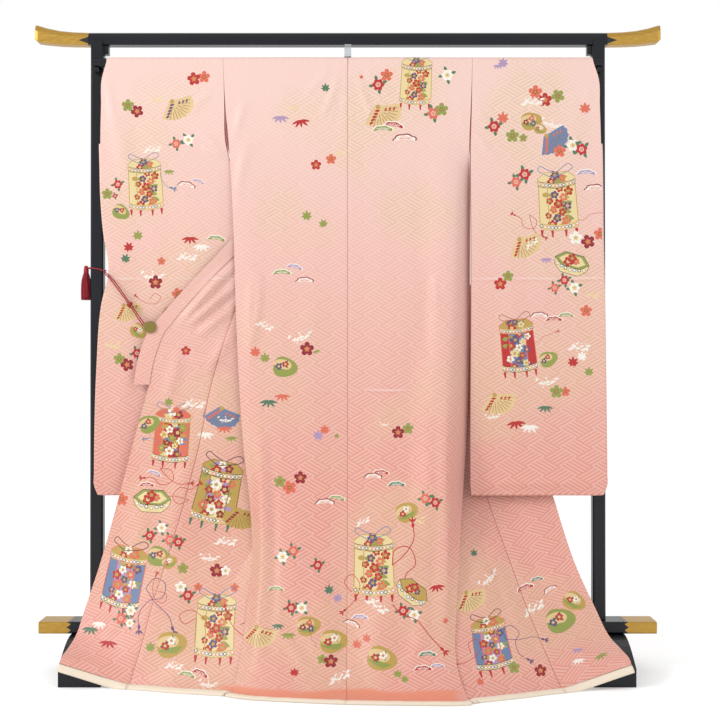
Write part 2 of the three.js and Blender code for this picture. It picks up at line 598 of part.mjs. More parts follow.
add("sleeve_right", sleeve("right", SLEEVE_RIGHT), SILK);

// ---------- Padded edge along the hem, one length for each panel ----------
const PADDING_SIDES = 8;

// A closed tube from rings of the same number of points, with a fan at each end.
function loft(rings) {
  const sides = rings[0].length;
  const positions = rings.flat().flatMap((p) => [...p]);
  const index = [];
  for (let r = 0; r < rings.length - 1; r++)
    for (let s = 0; s < sides; s++) {
      const next = (s + 1) % sides;
      const [a, b] = [r * sides + s, r * sides + next];
      index.push(a, b, b + sides, a, b + sides, a + sides);
    }
  for (let s = 1; s < sides - 1; s++) {
    const end = (rings.length - 1) * sides;
    index.push(0, s + 1, s, end, end + s, end + s + 1);
  }
  const geometry = new THREE.BufferGeometry()
    .setAttribute("position", new THREE.Float32BufferAttribute(positions, 3))
    .setIndex(index);
  return geometry;
}

// A point on the lower edge of a panel and the way its cloth runs there.
const hemSample = (surface, across, lowest) => {
  const end = surface(across, lowest);
  return { end, down: end.clone().sub(surface(across, lowest + 3)).normalize() };
};

// The padding's ring beyond a hem point, turned up just enough to rest on the floor.
function paddingRing({ end, down, along }) {
  const flat = new THREE.Vector3(down.x, down.y, 0).normalize();
  const ringAt = (drop) => {
    const way = flat.clone().multiplyScalar(Math.sqrt(1 - drop * drop)).setZ(-drop);
    way.addScaledVector(along, -way.dot(along)).normalize();
    const out = new THREE.Vector3().crossVectors(along, way).normalize();
    const centre = end.clone().addScaledVector(way, PADDING_WIDTH / 2 + GAP + CLOTH / 4);
    return [...Array(PADDING_SIDES).keys()].map((s) => {
      const turn = (s * 2 * Math.PI) / PADDING_SIDES;
      return centre
        .clone()
        .addScaledVector(way, (Math.cos(turn) * PADDING_WIDTH) / 2)
        .addScaledVector(out, (Math.sin(turn) * PADDING_HEIGHT) / 2);
    });
  };
  const lowest = (ring) => Math.min(...ring.map((p) => p.z));
  let high = Math.min(0.999, -down.z);
  if (lowest(ringAt(high)) >= 0) return ringAt(high);
  let low = -0.5;
  for (let i = 0; i < 30; i++) {
    const middle = (low + high) / 2;
    if (lowest(ringAt(middle)) >= 0) low = middle;
    else high = middle;
  }
  return ringAt(low);
}

// The hem from the left corner to the right one, as pieces that share their end samples.
const HEM_STEPS = { overlap: 7, front: 9, back: 10 };
function hemPieces() {
  const lowest = { left: FRONT_LEFT.at(-1).z, right: FRONT_RIGHT.at(-1).z };
  const pieces = [];
  for (const [hand, kind, from, to] of [
    ["left", "overlap", 3, 2], ["left", "front", 2, 0], ["left", "back", 0, 1],
    ["right", "back", 1, 0], ["right", "front", 0, 2], ["right", "overlap", 2, 3],
  ]) {
    const surface = kind === "back" ? surfaces[hand].back : surfaces[hand].front;
    const bottom = kind === "back" ? BACK_HEIGHTS[0] : lowest[hand];
    const steps = HEM_STEPS[kind];
    const samples = [...Array(steps + 1).keys()].map((i) =>
      hemSample(surface, mix(from, to, i / steps), bottom),
    );
    pieces.push({ name: "hem_" + kind + "_" + hand, samples });
  }
  // Neighbours meet in one shared sample, at whichever of their own lies further out.
  pieces.slice(1).forEach((piece, i) => {
    const before = pieces[i].samples.at(-1);
    const after = piece.samples[0];
    const end = (before.end.y < after.end.y ? before : after).end.clone();
    const down = before.down.clone().add(after.down).normalize();
    pieces[i].samples[pieces[i].samples.length - 1] = { end, down };
    piece.samples[0] = { end, down };
  });
  const line = pieces.flatMap((piece, i) => (i === 0 ? piece.samples : piece.samples.slice(1)));
  let start = 0;
  for (const piece of pieces) {
    const count = piece.samples.length;
    const rings = piece.samples.map((sample, i) => {
      const k = start + i;
      const before = line[Math.max(0, k - 1)].end;
      const after = line[Math.min(line.length - 1, k + 1)].end;
      const along = after.clone().sub(before).normalize();
      const inset = i === 0 ? SEAM_INSET : i === count - 1 ? -SEAM_INSET : 0;
      return paddingRing({ end: sample.end.clone().addScaledVector(along, inset), down: sample.down, along });
    });
    add(piece.name, loft(rings), PADDED_SILK);
    start += count - 1;
  }
}
hemPieces();

// ---------- Stand ----------
// Outline of a piece's cross-section: y half-width, flat below, with a rounded top.
function houseRing(x, bottom, top, halfDepth) {
  const shoulder = mix(bottom, top, 0.62);
  const section = [
    [-halfDepth + 1.5, bottom], [halfDepth - 1.5, bottom], [halfDepth, bottom + 1.5], [halfDepth, shoulder],
    [halfDepth * 0.72, mix(shoulder, top, 0.72)], [halfDepth * 0.3, top], [-halfDepth * 0.3, top],
    [-halfDepth * 0.72, mix(shoulder, top, 0.72)], [-halfDepth, shoulder], [-halfDepth, bottom + 1.5],
  ];
  return section.map(([y, z]) => new THREE.Vector3(x, POST_PLANE_Y + y, z));
}
const RAIL_TOP = RAIL_BOTTOM + RAIL_HEIGHT;
add(
  "top_rail",
  loft([-RAIL_HALF, RAIL_HALF].map((x) => houseRing(x, RAIL_BOTTOM, RAIL_TOP, RAIL_HALF_DEPTH))),
  LACQUER,
);
// The gold ends sweep up: share of the way out, rise of the top and of the bottom, and half depth.
const RAIL_END = [
  { out: 0, top: 0, bottom: 0, half: 17.5 },
  { out: 0.3, top: 1.5, bottom: 0.5, half: 17.6 },
  { out: 0.55, top: 5, bottom: 2, half: 17.9 },
  { out: 0.78, top: 11.5, bottom: 5, half: 18.3 },
  { out: 0.95, top: 18.5, bottom: 8, half: 18.7 },
  { out: 1, top: 20, bottom: 14, half: 17.6 },
];
for (const [name, sign] of [["left", -1], ["right", 1]]) {
  const rings = RAIL_END.map(({ out, top, bottom, half }) =>
    houseRing(sign * mix(RAIL_HALF + GAP, RAIL_TIP, out), RAIL_BOTTOM + bottom, RAIL_TOP + top, half),
  );
  add("rail_end_" + name, loft(sign < 0 ? rings.reverse() : rings), GOLD);
}

const BAR_CHAMFER = 4;
// A box with its long edges chamfered, lying along an axis: section in two axes, length along the third.
function chamferedBar(section, length, place) {
  const [a, b] = section;
  const chamfer = BAR_CHAMFER;
  const outline = new THREE.Shape([
    [-a + chamfer, -b], [a - chamfer, -b], [a, -b + chamfer], [a, b - chamfer],
    [a - chamfer, b], [-a + chamfer, b], [-a, b - chamfer], [-a, -b + chamfer],
  ].map(([x, y]) => new THREE.Vector2(x, y)));
  return new THREE.ExtrudeGeometry(outline, { depth: length, bevelEnabled: false }).applyMatrix4(place);
}

function solid(geometry) {
  const g = geometry.clone();
  g.deleteAttribute("normal");
  g.deleteAttribute("uv");
  const merged = mergeVertices(g, 1e-4);
  return new wasm.Manifold(
    new wasm.Mesh({
      numProp: 3,
      vertProperties: merged.attributes.position.array,
      triVerts: new Uint32Array(merged.index.array),
    }),
  );
}
function geometryOf(manifold) {
  const mesh = manifold.getMesh();
  return new THREE.BufferGeometry()
    .setAttribute("position", new THREE.BufferAttribute(mesh.vertProperties, 3))
    .setIndex(new THREE.BufferAttribute(mesh.triVerts, 1));
}
const box = (x, y, z, sx, sy, sz) => new THREE.BoxGeometry(sx, sy, sz).translate(x, y, z);

// Posts: a square bar, with a round-headed cheek in front of the rail and a peg under the rod.
const CHEEK_DEPTH = 5;
const CHEEK_HALF = 14;
const CHEEK_BOTTOM = 1602;
const CHEEK_TOP = 1660;
const PEG_X = 657;
const PEG_REACH = 44;
const PEG_HEIGHT = 12;
const PEG_WIDTH = 10;
const TAB_Z = 1617; // the tab that joins cheek and bar
const TAB_HEIGHT = 24;
const TAB_DEPTH = 4;
function post(sign) {
  const length = RAIL_BOTTOM - GAP - LOW_RAIL_TOP - GAP;
  const bar = chamferedBar(
    [POST_HALF, POST_HALF],
    length,
    new THREE.Matrix4().makeTranslation(sign * POST_X, POST_PLANE_Y, LOW_RAIL_TOP + GAP),
  );
  const outline = new THREE.Shape()
    .moveTo(-CHEEK_HALF, CHEEK_BOTTOM)
    .lineTo(CHEEK_HALF, CHEEK_BOTTOM)
    .lineTo(CHEEK_HALF, CHEEK_TOP - 8)
    .quadraticCurveTo(CHEEK_HALF, CHEEK_TOP, 0, CHEEK_TOP)
    .quadraticCurveTo(-CHEEK_HALF, CHEEK_TOP, -CHEEK_HALF, CHEEK_TOP - 8);
  const cheekCut = { depth: CHEEK_DEPTH - GAP, bevelEnabled: false, curveSegments: 5 };
  const cheek = new THREE.ExtrudeGeometry(outline, cheekCut)
    .rotateX(Math.PI / 2)
    .translate(sign * POST_X, POST_PLANE_Y - POST_HALF - GAP, 0);
  const tabWidth = CHEEK_HALF * 2 - TAB_DEPTH;
  const tab = box(sign * POST_X, POST_PLANE_Y - POST_HALF, TAB_Z, tabWidth, TAB_DEPTH, TAB_HEIGHT);
  const peg = box(
    sign * PEG_X, POST_PLANE_Y - (POST_HALF + PEG_REACH) / 2 + 1, ROD_Z - ROD_RADIUS - GAP - PEG_HEIGHT / 2,
    PEG_WIDTH, PEG_REACH - POST_HALF + TAB_DEPTH, PEG_HEIGHT,
  );
  return geometryOf(solid(bar).add(solid(cheek)).add(solid(tab)).add(solid(peg)));
}

// A section in Y and Z, turned so that its length runs along X.
const ALONG_X = new THREE.Matrix4().makeBasis(
  new THREE.Vector3(0, 1, 0), new THREE.Vector3(0, 0, 1), new THREE.Vector3(1, 0, 0),
);
const alongX = (x, y, z) => new THREE.Matrix4().makeTranslation(x, y, z).multiply(ALONG_X);

// A foot: flat below, its back rising in a mound under the lower rail.
const FOOT_STEPS = 6;
function foot(sign) {
  const rise = LOW_RAIL_BOTTOM - GAP - FOOT_END_HEIGHT;
  const mound = [...Array(FOOT_STEPS + 1).keys()].map((i) => {
    const share = 1 - i / FOOT_STEPS;
    const reach = mix(LOW_RAIL_HALF_DEPTH, FOOT_REACH, share);
    return new THREE.Vector2(reach, FOOT_END_HEIGHT + rise * Math.cos((share * Math.PI) / 2));
  });
  const mirrored = [...mound].reverse().map((p) => new THREE.Vector2(-p.x, p.y));
  const base = [new THREE.Vector2(-FOOT_REACH, 0), new THREE.Vector2(FOOT_REACH, 0)];
  const outline = new THREE.Shape([...base, ...mound, ...mirrored]);
  return new THREE.ExtrudeGeometry(outline, { depth: FOOT_OUTER - FOOT_INNER, bevelEnabled: false })
    .applyMatrix4(alongX(sign > 0 ? FOOT_INNER : -FOOT_OUTER, POST_PLANE_Y, 0));
}

const BLOCK = { width: 12, depth: 20, height: 24 }; // between post and top rail
const LOW_RAIL_Z = (LOW_RAIL_BOTTOM + LOW_RAIL_TOP) / 2;
const LOW_RAIL_SECTION = [LOW_RAIL_HALF_DEPTH, (LOW_RAIL_TOP - LOW_RAIL_BOTTOM) / 2];
add(
  "lower_rail",
  chamferedBar(LOW_RAIL_SECTION, LOW_RAIL_HALF * 2, alongX(-LOW_RAIL_HALF, POST_PLANE_Y, LOW_RAIL_Z)),
  LACQUER,
);
for (const [name, sign] of [["left", -1], ["right", 1]]) {
  add("post_" + name, post(sign), LACQUER);
  add("foot_" + name, foot(sign), LACQUER);
  const length = LOW_RAIL_TIP - LOW_RAIL_HALF - GAP;
  const place = alongX(sign > 0 ? LOW_RAIL_HALF + GAP : -LOW_RAIL_TIP, POST_PLANE_Y, LOW_RAIL_Z);
  add("lower_end_" + name, chamferedBar(LOW_RAIL_SECTION, length, place), GOLD);
  const blockX = sign * (POST_X - POST_HALF - GAP - BLOCK.width / 2);
  const blockZ = RAIL_BOTTOM - GAP - BLOCK.height / 2;
  const block = box(blockX, POST_PLANE_Y, blockZ, BLOCK.width, BLOCK.depth, BLOCK.height);
  add("corner_block_" + name, block, LACQUER);
}
add(
  "rod",
  new THREE.CylinderGeometry(ROD_RADIUS, ROD_RADIUS, ROD_HALF * 2, 24)
    .rotateZ(Math.PI / 2)
    .translate(0, POST_PLANE_Y - ROD_REACH, ROD_Z),
  LACQUER,
);

// ---------- Clip, cord and tassel that hold the left front out ----------
const CLIP = { left: -529, right: -498, bottom: 886, top: 917, reach: 50.5, opening: 5, jaw: 2.4, bridge: 5 };
function frontClip() {
  const inner = CLIP.opening;
  const outer = inner + CLIP.jaw;
  const width = CLIP.right - CLIP.left;
  const outline = new THREE.Shape([
    [0, -outer], [width, -outer], [width, -inner], [CLIP.bridge, -inner],
    [CLIP.bridge, inner], [width, inner], [width, outer], [0, outer],
  ].map(([x, y]) => new THREE.Vector2(x, y)));
  const u = solid(
    new THREE.ExtrudeGeometry(outline, { depth: CLIP.top - CLIP.bottom, bevelEnabled: false })
      .translate(CLIP.left, POST_PLANE_Y - CLIP.reach, CLIP.bottom),
  );
  // Rounded seen from the front, like a leaf.
  const leaf = new THREE.CylinderGeometry(1, 1, outer * 2 + 4, 20)
    .scale(width / 2 + 1.5, 1, (CLIP.top - CLIP.bottom) / 2)
    .translate((CLIP.left + CLIP.right) / 2, POST_PLANE_Y - CLIP.reach, (CLIP.top + CLIP.bottom) / 2);
  return geometryOf(u.intersect(solid(leaf)));
}
add("front_clip", frontClip(), CLIP_METAL);

const CORD_DIAMETER = 3;
const TASSEL = { x: -691, z: 1058, head: 7, length: 84, skirt: 12, strands: 36 };
// Each strand's route: x, reach and z of points from the clip to the tassel's head.
const CORD_FRONT = [
  [-528.7, 52, 909.8], [-540, 53.5, 926], [-556, 54, 949], [-566, 54, 963], [-575, 53.5, 976],
  [-592, 51.5, 1000], [-610, 48, 1024], [-628, 41, 1041], [-640, 31.5, 1050], [-650, 23.5, 1054],
  [-660, 20.6, 1056], [-670, 20.2, 1057.5], [-679, 17, 1058.5], [-684.5, 11.5, 1059], [-688, 6.1, 1059],
];
const CORD_BACK = [
  [-531.1, 52, 904.8], [-543.5, 51, 921.5], [-558.5, 50.4, 945], [-568.6, 50.3, 959], [-578, 50, 973],
  [-593, 48.5, 993], [-608, 46.5, 1013], [-622, 43.5, 1030], [-631.5, 39, 1038.5],
  [-637, 31, 1044], [-639.6, 20, 1048], [-639.6, -6, 1052.5], [-642.5, -17, 1054],
  [-651, -21, 1055], [-663, -21, 1056], [-674, -20, 1057.5], [-681, -15, 1058.5],
  [-685.2, -10.5, 1059], [-688, -6.1, 1059],
];
function cord(route) {
  const curve = new THREE.CatmullRomCurve3(route.map((p) => at(...p)), false, "centripetal");
  const sides = 8;
  const section = new THREE.Shape(
    [...Array(sides).keys()].map((i) => {
      const turn = (i * 2 * Math.PI) / sides;
      return new THREE.Vector2((Math.cos(turn) * CORD_DIAMETER) / 2, (Math.sin(turn) * CORD_DIAMETER) / 2);
    }),
  );
  return new THREE.ExtrudeGeometry(section, { extrudePath: curve, steps: 30, bevelEnabled: false });
}
add("cord_front", cord(CORD_FRONT), RED_CORD);
add("cord_back", cord(CORD_BACK), RED_CORD);

// A ring that slides on the two strands.
const SLIDE = { at: [-567.3, 52.15, 961], inner: 5, outer: 8, half: 4 };
function slide() {
  const profile = [
    [SLIDE.inner, -SLIDE.half], [SLIDE.outer - 1, -SLIDE.half], [SLIDE.outer, -SLIDE.half + 1.5],
    [SLIDE.outer, SLIDE.half - 1.5], [SLIDE.outer - 1, SLIDE.half], [SLIDE.inner, SLIDE.half],
    [SLIDE.inner, -SLIDE.half],
  ].map(([r, y]) => new THREE.Vector2(r, y));
  const along = at(-575, 52, 974.5).sub(at(-558, 52, 947)).normalize();
  const turn = new THREE.Quaternion().setFromUnitVectors(new THREE.Vector3(0, 1, 0), along);
  return new THREE.LatheGeometry(profile, 16)
    .applyQuaternion(turn)
    .translate(...at(...SLIDE.at));
}
add("cord_slide", slide(), RED_CORD);

// Tassel: strands rooted in a bound head.
function tassel() {
  const bottom = TASSEL.z - 12;
  const head = new THREE.LatheGeometry(
    [[0, -12], [6, -12], [TASSEL.head, -6], [6.5, -3], [5.2, 0], [6.5, 3], [5, 6], [0, 7]].map(
      ([r, y]) => new THREE.Vector2(r, y),
    ),
    12,
  ).rotateX(Math.PI / 2);
  let whole = solid(head);
  const rings = [
    { count: 6, share: 0.3 },
    { count: 12, share: 0.62 },
    { count: 18, share: 0.92 },
  ];
  for (const { count, share } of rings)
    for (let i = 0; i < count; i++) {
      const turn = ((i + share * 3) * 2 * Math.PI) / count;
      const spread = (radius, drop) =>
        new THREE.Vector3(Math.cos(turn) * radius, Math.sin(turn) * radius, -drop);
      const [top, middle, end] = [
        spread(share * 5, 9),
        spread(share * TASSEL.skirt * 0.82, 40),
        spread(share * TASSEL.skirt, TASSEL.length - (i % 3) * 2),
      ];
      const ring = (p, r) =>
        [0, 1, 2].map((k) => {
          const a = turn + (k * 2 * Math.PI) / 3;
          return p.clone().add(new THREE.Vector3(Math.cos(a) * r, Math.sin(a) * r, 0));
        });
      whole = whole.add(solid(loft([ring(top, 0.7), ring(middle, 0.85), ring(end, 0.8)].reverse())));
    }
  return geometryOf(whole).translate(TASSEL.x, POST_PLANE_Y, TASSEL.z);
}
add("tassel", tassel(), RED_CORD);

// A clear strap from under the top rail down to the neck of the kimono.
const STRAP_WIDTH = 18;
const STRAP_THICKNESS = 2;
function neckStrap() {
  const top = RAIL_BOTTOM - GAP;
  const low = ROD_Z + FOLD_RADIUS + CLOTH / 2 + GAP;
  const outline = new THREE.Shape([
    [6, top], [6, top - STRAP_THICKNESS], [20, top - STRAP_THICKNESS], [34, low + STRAP_THICKNESS], [34, low],
    [46, low], [46, low + STRAP_THICKNESS], [37, low + STRAP_THICKNESS + 1], [22, top],
  ].map(([reach, z]) => new THREE.Vector2(-reach, z)));
  return new THREE.ExtrudeGeometry(outline, { depth: STRAP_WIDTH, bevelEnabled: false })
    .applyMatrix4(alongX(-STRAP_WIDTH / 2, POST_PLANE_Y, 0));
}
add("neck_strap", neckStrap(), CLEAR_PLASTIC);

export default group;
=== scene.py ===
"""A pink furisode kimono shown from its back on a lacquered stand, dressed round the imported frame."""

import json
import math

import bpy
import numpy as np
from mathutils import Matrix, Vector, noise
from mathutils.geometry import delaunay_2d_cdt

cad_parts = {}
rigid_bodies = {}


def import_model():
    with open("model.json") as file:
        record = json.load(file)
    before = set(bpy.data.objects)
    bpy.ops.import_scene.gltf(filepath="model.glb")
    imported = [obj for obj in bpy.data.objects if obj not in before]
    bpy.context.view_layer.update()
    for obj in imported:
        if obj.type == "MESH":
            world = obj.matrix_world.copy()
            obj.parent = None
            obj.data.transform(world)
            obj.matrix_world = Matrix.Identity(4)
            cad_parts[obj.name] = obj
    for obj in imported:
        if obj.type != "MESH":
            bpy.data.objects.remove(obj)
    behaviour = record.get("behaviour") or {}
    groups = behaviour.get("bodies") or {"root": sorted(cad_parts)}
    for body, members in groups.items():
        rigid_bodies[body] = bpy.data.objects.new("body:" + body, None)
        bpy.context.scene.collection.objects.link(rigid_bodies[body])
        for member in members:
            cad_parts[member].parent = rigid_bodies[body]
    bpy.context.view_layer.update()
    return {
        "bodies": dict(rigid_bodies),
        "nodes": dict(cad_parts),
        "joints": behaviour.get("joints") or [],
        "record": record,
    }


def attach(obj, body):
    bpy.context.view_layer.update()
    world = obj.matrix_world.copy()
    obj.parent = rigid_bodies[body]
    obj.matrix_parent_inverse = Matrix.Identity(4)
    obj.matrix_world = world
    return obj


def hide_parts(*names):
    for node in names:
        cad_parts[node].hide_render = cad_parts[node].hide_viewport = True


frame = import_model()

POST_Y = 96.716  # the posts' plane in the row frame, in millimetres
NODES = frame["nodes"]

# ---------- Camera ----------
# The eye in millimetres, its reach measured out from the post's plane.
EYE_X, EYE_REACH, EYE_Z = 32, 3600, 790
EYE_TILT = 90.42
LENS, SENSOR = 68.2, 36
# Side of the picture in pixels, and the row that lies level with the eye.
PICTURE, HORIZON_ROW = 720, 370
lens = bpy.data.cameras.new("camera")
lens.lens = LENS
lens.sensor_width = SENSOR
camera = bpy.data.objects.new("camera", lens)
camera.location = (EYE_X / 1000, (POST_Y - EYE_REACH) / 1000, EYE_Z / 1000)
camera.rotation_euler = (math.radians(EYE_TILT), 0, 0)
bpy.context.scene.collection.objects.link(camera)
bpy.context.scene.camera = camera


# ---------- Meshes ----------
def metres(points):
    """x, reach, z in millimetres to the row frame in metres."""
    p = np.asarray(points, float)
    return np.stack([p[..., 0], POST_Y - p[..., 1], p[..., 2]], axis=-1) / 1000


def new_object(name, verts, faces, materials, index=None, uv=None, normals=None):
    """uv is one pair for each face corner, normals one for each vertex."""
    mesh = bpy.data.meshes.new(name)
    mesh.from_pydata(np.asarray(verts).tolist(), [], [list(map(int, f)) for f in faces])
    for m in materials:
        mesh.materials.append(m)
    mesh.polygons.foreach_set("use_smooth", [True] * len(mesh.polygons))
    if index is not None:
        mesh.polygons.foreach_set("material_index", np.asarray(index, np.int32))
    if uv is not None:
        mesh.uv_layers.new(name="cloth").data.foreach_set("uv", np.asarray(uv, np.float32).ravel())
    if normals is not None:
        mesh.normals_split_custom_set_from_vertices(np.asarray(normals).tolist())
    mesh.update()
    o = bpy.data.objects.new(name, mesh)
    bpy.context.scene.collection.objects.link(o)
    return o


ASIDE = (0.3, 0.2, 0.9)  # a way that no path starts along


def tube(path, radius, sides, taper=None):
    """Rings round a path in metres: vertices, faces and corner uv as (along, around)."""
    path = np.asarray(path, float)
    along = np.gradient(path, axis=0)
    along /= np.linalg.norm(along, axis=1)[:, None]
    up = np.cross(along[0], ASIDE)
    verts = []
    for i, (p, d) in enumerate(zip(path, along)):
        up = up - d * (up @ d)
        up /= np.linalg.norm(up)
        side = np.cross(d, up)
        r = radius * (1 if taper is None else taper[i])
        turns = np.arange(sides) * 2 * math.pi / sides
        verts.append(p + r * (np.cos(turns)[:, None] * up + np.sin(turns)[:, None] * side))
    run = np.concatenate([[0], np.cumsum(np.linalg.norm(np.diff(path, axis=0), axis=1))])
    uv = []
    for here, there in zip(run, run[1:]):
        for one, two in ((s / sides, (s + 1) / sides) for s in range(sides)):
            uv += [(here, one), (here, two), (there, two), (there, one)]
    uv += [(run[0], 0)] * sides + [(run[-1], 0)] * sides
    return np.concatenate(verts), ring_faces(len(path), sides), uv


def ring_faces(rings, sides):
    """Quads between rings of points, then the first and last ring as caps."""
    faces = []
    for low in range(0, (rings - 1) * sides, sides):
        for s in range(sides):
            n = (s + 1) % sides
            faces.append((low + s, low + n, low + sides + n, low + sides + s))
    last = (rings - 1) * sides
    return faces + [tuple(range(sides))[::-1], tuple(range(last, last + sides))]


def joined(parts):
    """Several (vertices, faces, uv) as one."""
    verts, faces, uv, start = [], [], [], 0
    for v, f, u in parts:
        verts.append(v)
        faces += [tuple(i + start for i in face) for face in f]
        uv += u
        start += len(v)
    return np.concatenate(verts), faces, uv


def through(points, count):
    """Points along a centripetal curve through some points."""
    p = np.asarray(points, float)
    p = np.concatenate([[2 * p[0] - p[1]], p, [2 * p[-1] - p[-2]]])
    out = []
    spans = len(p) - 3
    for k in range(count):
        t = k / (count - 1) * spans
        i = min(int(t), spans - 1)
        w = t - i
        a, b, c, d = p[i : i + 4]
        ab, bc, cd = (math.sqrt(max(1e-9, np.linalg.norm(y - x))) for x, y in ((a, b), (b, c), (c, d)))
        u = ((b - a) / ab - (c - a) / (ab + bc) + (c - b) / bc) * bc
        v = ((c - b) / bc - (d - b) / (bc + cd) + (d - c) / cd) * bc
        out.append(b + u * w + (-3 * b + 3 * c - 2 * u - v) * w**2 + (2 * b - 2 * c + u + v) * w**3)
    return np.array(out)


# ---------- Materials ----------
class Nodes:
    """A material's node tree with short ways to add and join nodes."""

    def __init__(self, name):
        self.material = bpy.data.materials.new(name)
        self.material.use_nodes = True
        self.tree = self.material.node_tree
        self.shader = self.tree.nodes["Principled BSDF"]

    def add(self, kind, inputs=(), **settings):
        node = self.tree.nodes.new("ShaderNode" + kind)
        for key, value in settings.items():
            setattr(node, key, value)
        for key, value in dict(inputs).items():
            self.put(node.inputs[key], value)
        return node

    def put(self, socket, value):
        if isinstance(value, bpy.types.NodeSocket):
            self.tree.links.new(value, socket)
        elif isinstance(value, bpy.types.Node):
            self.tree.links.new(value.outputs[0], socket)
        else:
            socket.default_value = value

    def math(self, operation, a, b=0.0):
        return self.add("Math", {0: a, 1: b}, operation=operation).outputs[0]

    def plus(self, a, b):
        return self.math("ADD", a, b)

    def minus(self, a, b):
        return self.math("SUBTRACT", a, b)

    def times(self, first, *others):
        for other in others:
            first = self.math("MULTIPLY", first, other)
        return first

    def distance(self, a, b):
        return self.math("ABSOLUTE", self.minus(a, b))

    def mix(self, factor, a, b):
        node = self.add("Mix", data_type="RGBA")
        self.put(node.inputs[0], factor)
        self.put(node.inputs[6], a)
        self.put(node.inputs[7], b)
        return node.outputs[2]

    def ramp(self, value, low, high):
        return self.add("MapRange", {"Value": value, "From Min": low, "From Max": high}).outputs[0]

    def noise(self, vector, scale, detail=2.0, roughness=0.5):
        inputs = {"Vector": vector, "Scale": scale, "Detail": detail, "Roughness": roughness}
        return self.add("TexNoise", inputs).outputs[0]

    def bump(self, height, strength, distance):
        node = self.add("Bump", {"Height": height, "Strength": strength, "Distance": distance})
        self.put(self.shader.inputs["Normal"], node)

    def set(self, **inputs):
        for key, value in inputs.items():
            self.put(self.shader.inputs[key.replace("_", " ")], value)

    def round_edges(self, radius):
        self.put(self.shader.inputs["Normal"], self.add("Bevel", {"Radius": radius}))


LIGHT = 1.42  # how much brighter than its own colour the lamps show a surface


def srgb(r, g, b):
    """A colour, 0 to 255, as it looks under the lamps."""
    one = lambda c: (c / 12.92 if c <= 0.04045 else ((c + 0.055) / 1.055) ** 2.4) / LIGHT
    return (one(r / 255), one(g / 255), one(b / 255), 1)


PLY_SLOPE = 1500.0  # radians for each metre of cord


def cord_material():
    m = Nodes("red_cord")
    uv = m.add("UVMap", uv_map="cloth")
    xyz = m.add("SeparateXYZ", {0: uv})
    # Two plies laid round each other: a slope along the cord and two turns round it.
    turn = m.plus(m.times(xyz.outputs[0], PLY_SLOPE), m.times(xyz.outputs[1], 12.566))
    ply = m.math("ABSOLUTE", m.math("SINE", turn))
    # Painted shade and highlight: the red darkens into the grooves between the plies and lightens on their
    # crests.
    m.set(Base_Color=m.mix(ply, srgb(112, 8, 22), srgb(196, 24, 48)), Roughness=0.62)
    m.bump(ply, 0.6, 0.0006)
    return m.material


RED_CORD = cord_material()

# ---------- Cords ----------
CORD_DIAMETER, CORD_POINTS, CORD_SIDES = 0.003, 141, 12
# Each strand from the clip to the tassel's head: x, reach and z in millimetres.
CORD_FRONT = [
    [-528.7, 52, 909.8], [-540, 53.5, 926], [-556, 54, 949], [-566, 54, 963], [-575, 53.5, 976],
    [-592, 51.5, 1000], [-610, 48, 1024], [-628, 41, 1041], [-640, 31.5, 1050], [-650, 23.5, 1054],
    [-660, 20.6, 1056], [-670, 20.2, 1057.5], [-679, 17, 1058.5], [-684.5, 11.5, 1059],
    [-688, 6.1, 1059],
]
CORD_BACK = [
    [-531.1, 52, 904.8], [-543.5, 51, 921.5], [-558.5, 50.4, 945], [-568.6, 50.3, 959],
    [-578, 50, 973], [-593, 48.5, 993], [-608, 46.5, 1013], [-622, 43.5, 1030], [-631.5, 39, 1038.5],
    [-637, 31, 1044], [-639.6, 20, 1048], [-639.6, -6, 1052.5], [-642.5, -17, 1054], [-651, -21, 1055],
    [-663, -21, 1056], [-674, -20, 1057.5], [-681, -15, 1058.5], [-685.2, -10.5, 1059],
    [-688, -6.1, 1059],
]
for name, route in (("cord_front", CORD_FRONT), ("cord_back", CORD_BACK)):
    path = metres(through(route, CORD_POINTS))
    verts, faces, uv = tube(path, CORD_DIAMETER / 2, CORD_SIDES)
    strand = new_object(name + "_strand", verts, faces, [RED_CORD], uv=uv)
    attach(strand, "root")
    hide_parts(name)

# ---------- Cloth surfaces, in millimetres: x, reach in front of the posts, z ----------
SHOULDER, ROD_REACH, ROD_Z, FOLD_R = 325.0, 36.0, 1593.5, 13.734
ROD_RUN = math.pi * FOLD_R
NECK = 88.6
CLOTH_TOP = 1560.0  # above this height the cloth leaves its own table for the rod
# How deep a seam sinks, on the back and on the fronts, and how far it pulls at the cloth.
BACK_DIP, FRONT_DIP, SEAM_PULL = 1.3, 1.2, 2.5
# c counts across a body: 0 at its side, 11 at the back's middle, and on the front 8 at the overlap's seam and
# 12 at the free edge. Near the seam one count is 36 mm.
BACK_COUNT, SEAM_COUNT, EDGE_COUNT, COUNT_WIDTH = 11, 8, 12, 36
SIDE_FOLD = 0.1  # where the back's fold lies, as a share of the way from its side to its middle
# Heights where the sleeve is sewn on, where its opening starts, where the front sweeps out, and of its hem.
JOIN_Z, WRIST_Z, SWEEP_Z, SLEEVE_HEM_Z = 1350, 1380, 1260, 468
SLEEVE_GAP = 0.45  # from the shoulder to the sleeve
EDGE_ROUND = 5.0  # how far a sleeve's rounded edge stands out
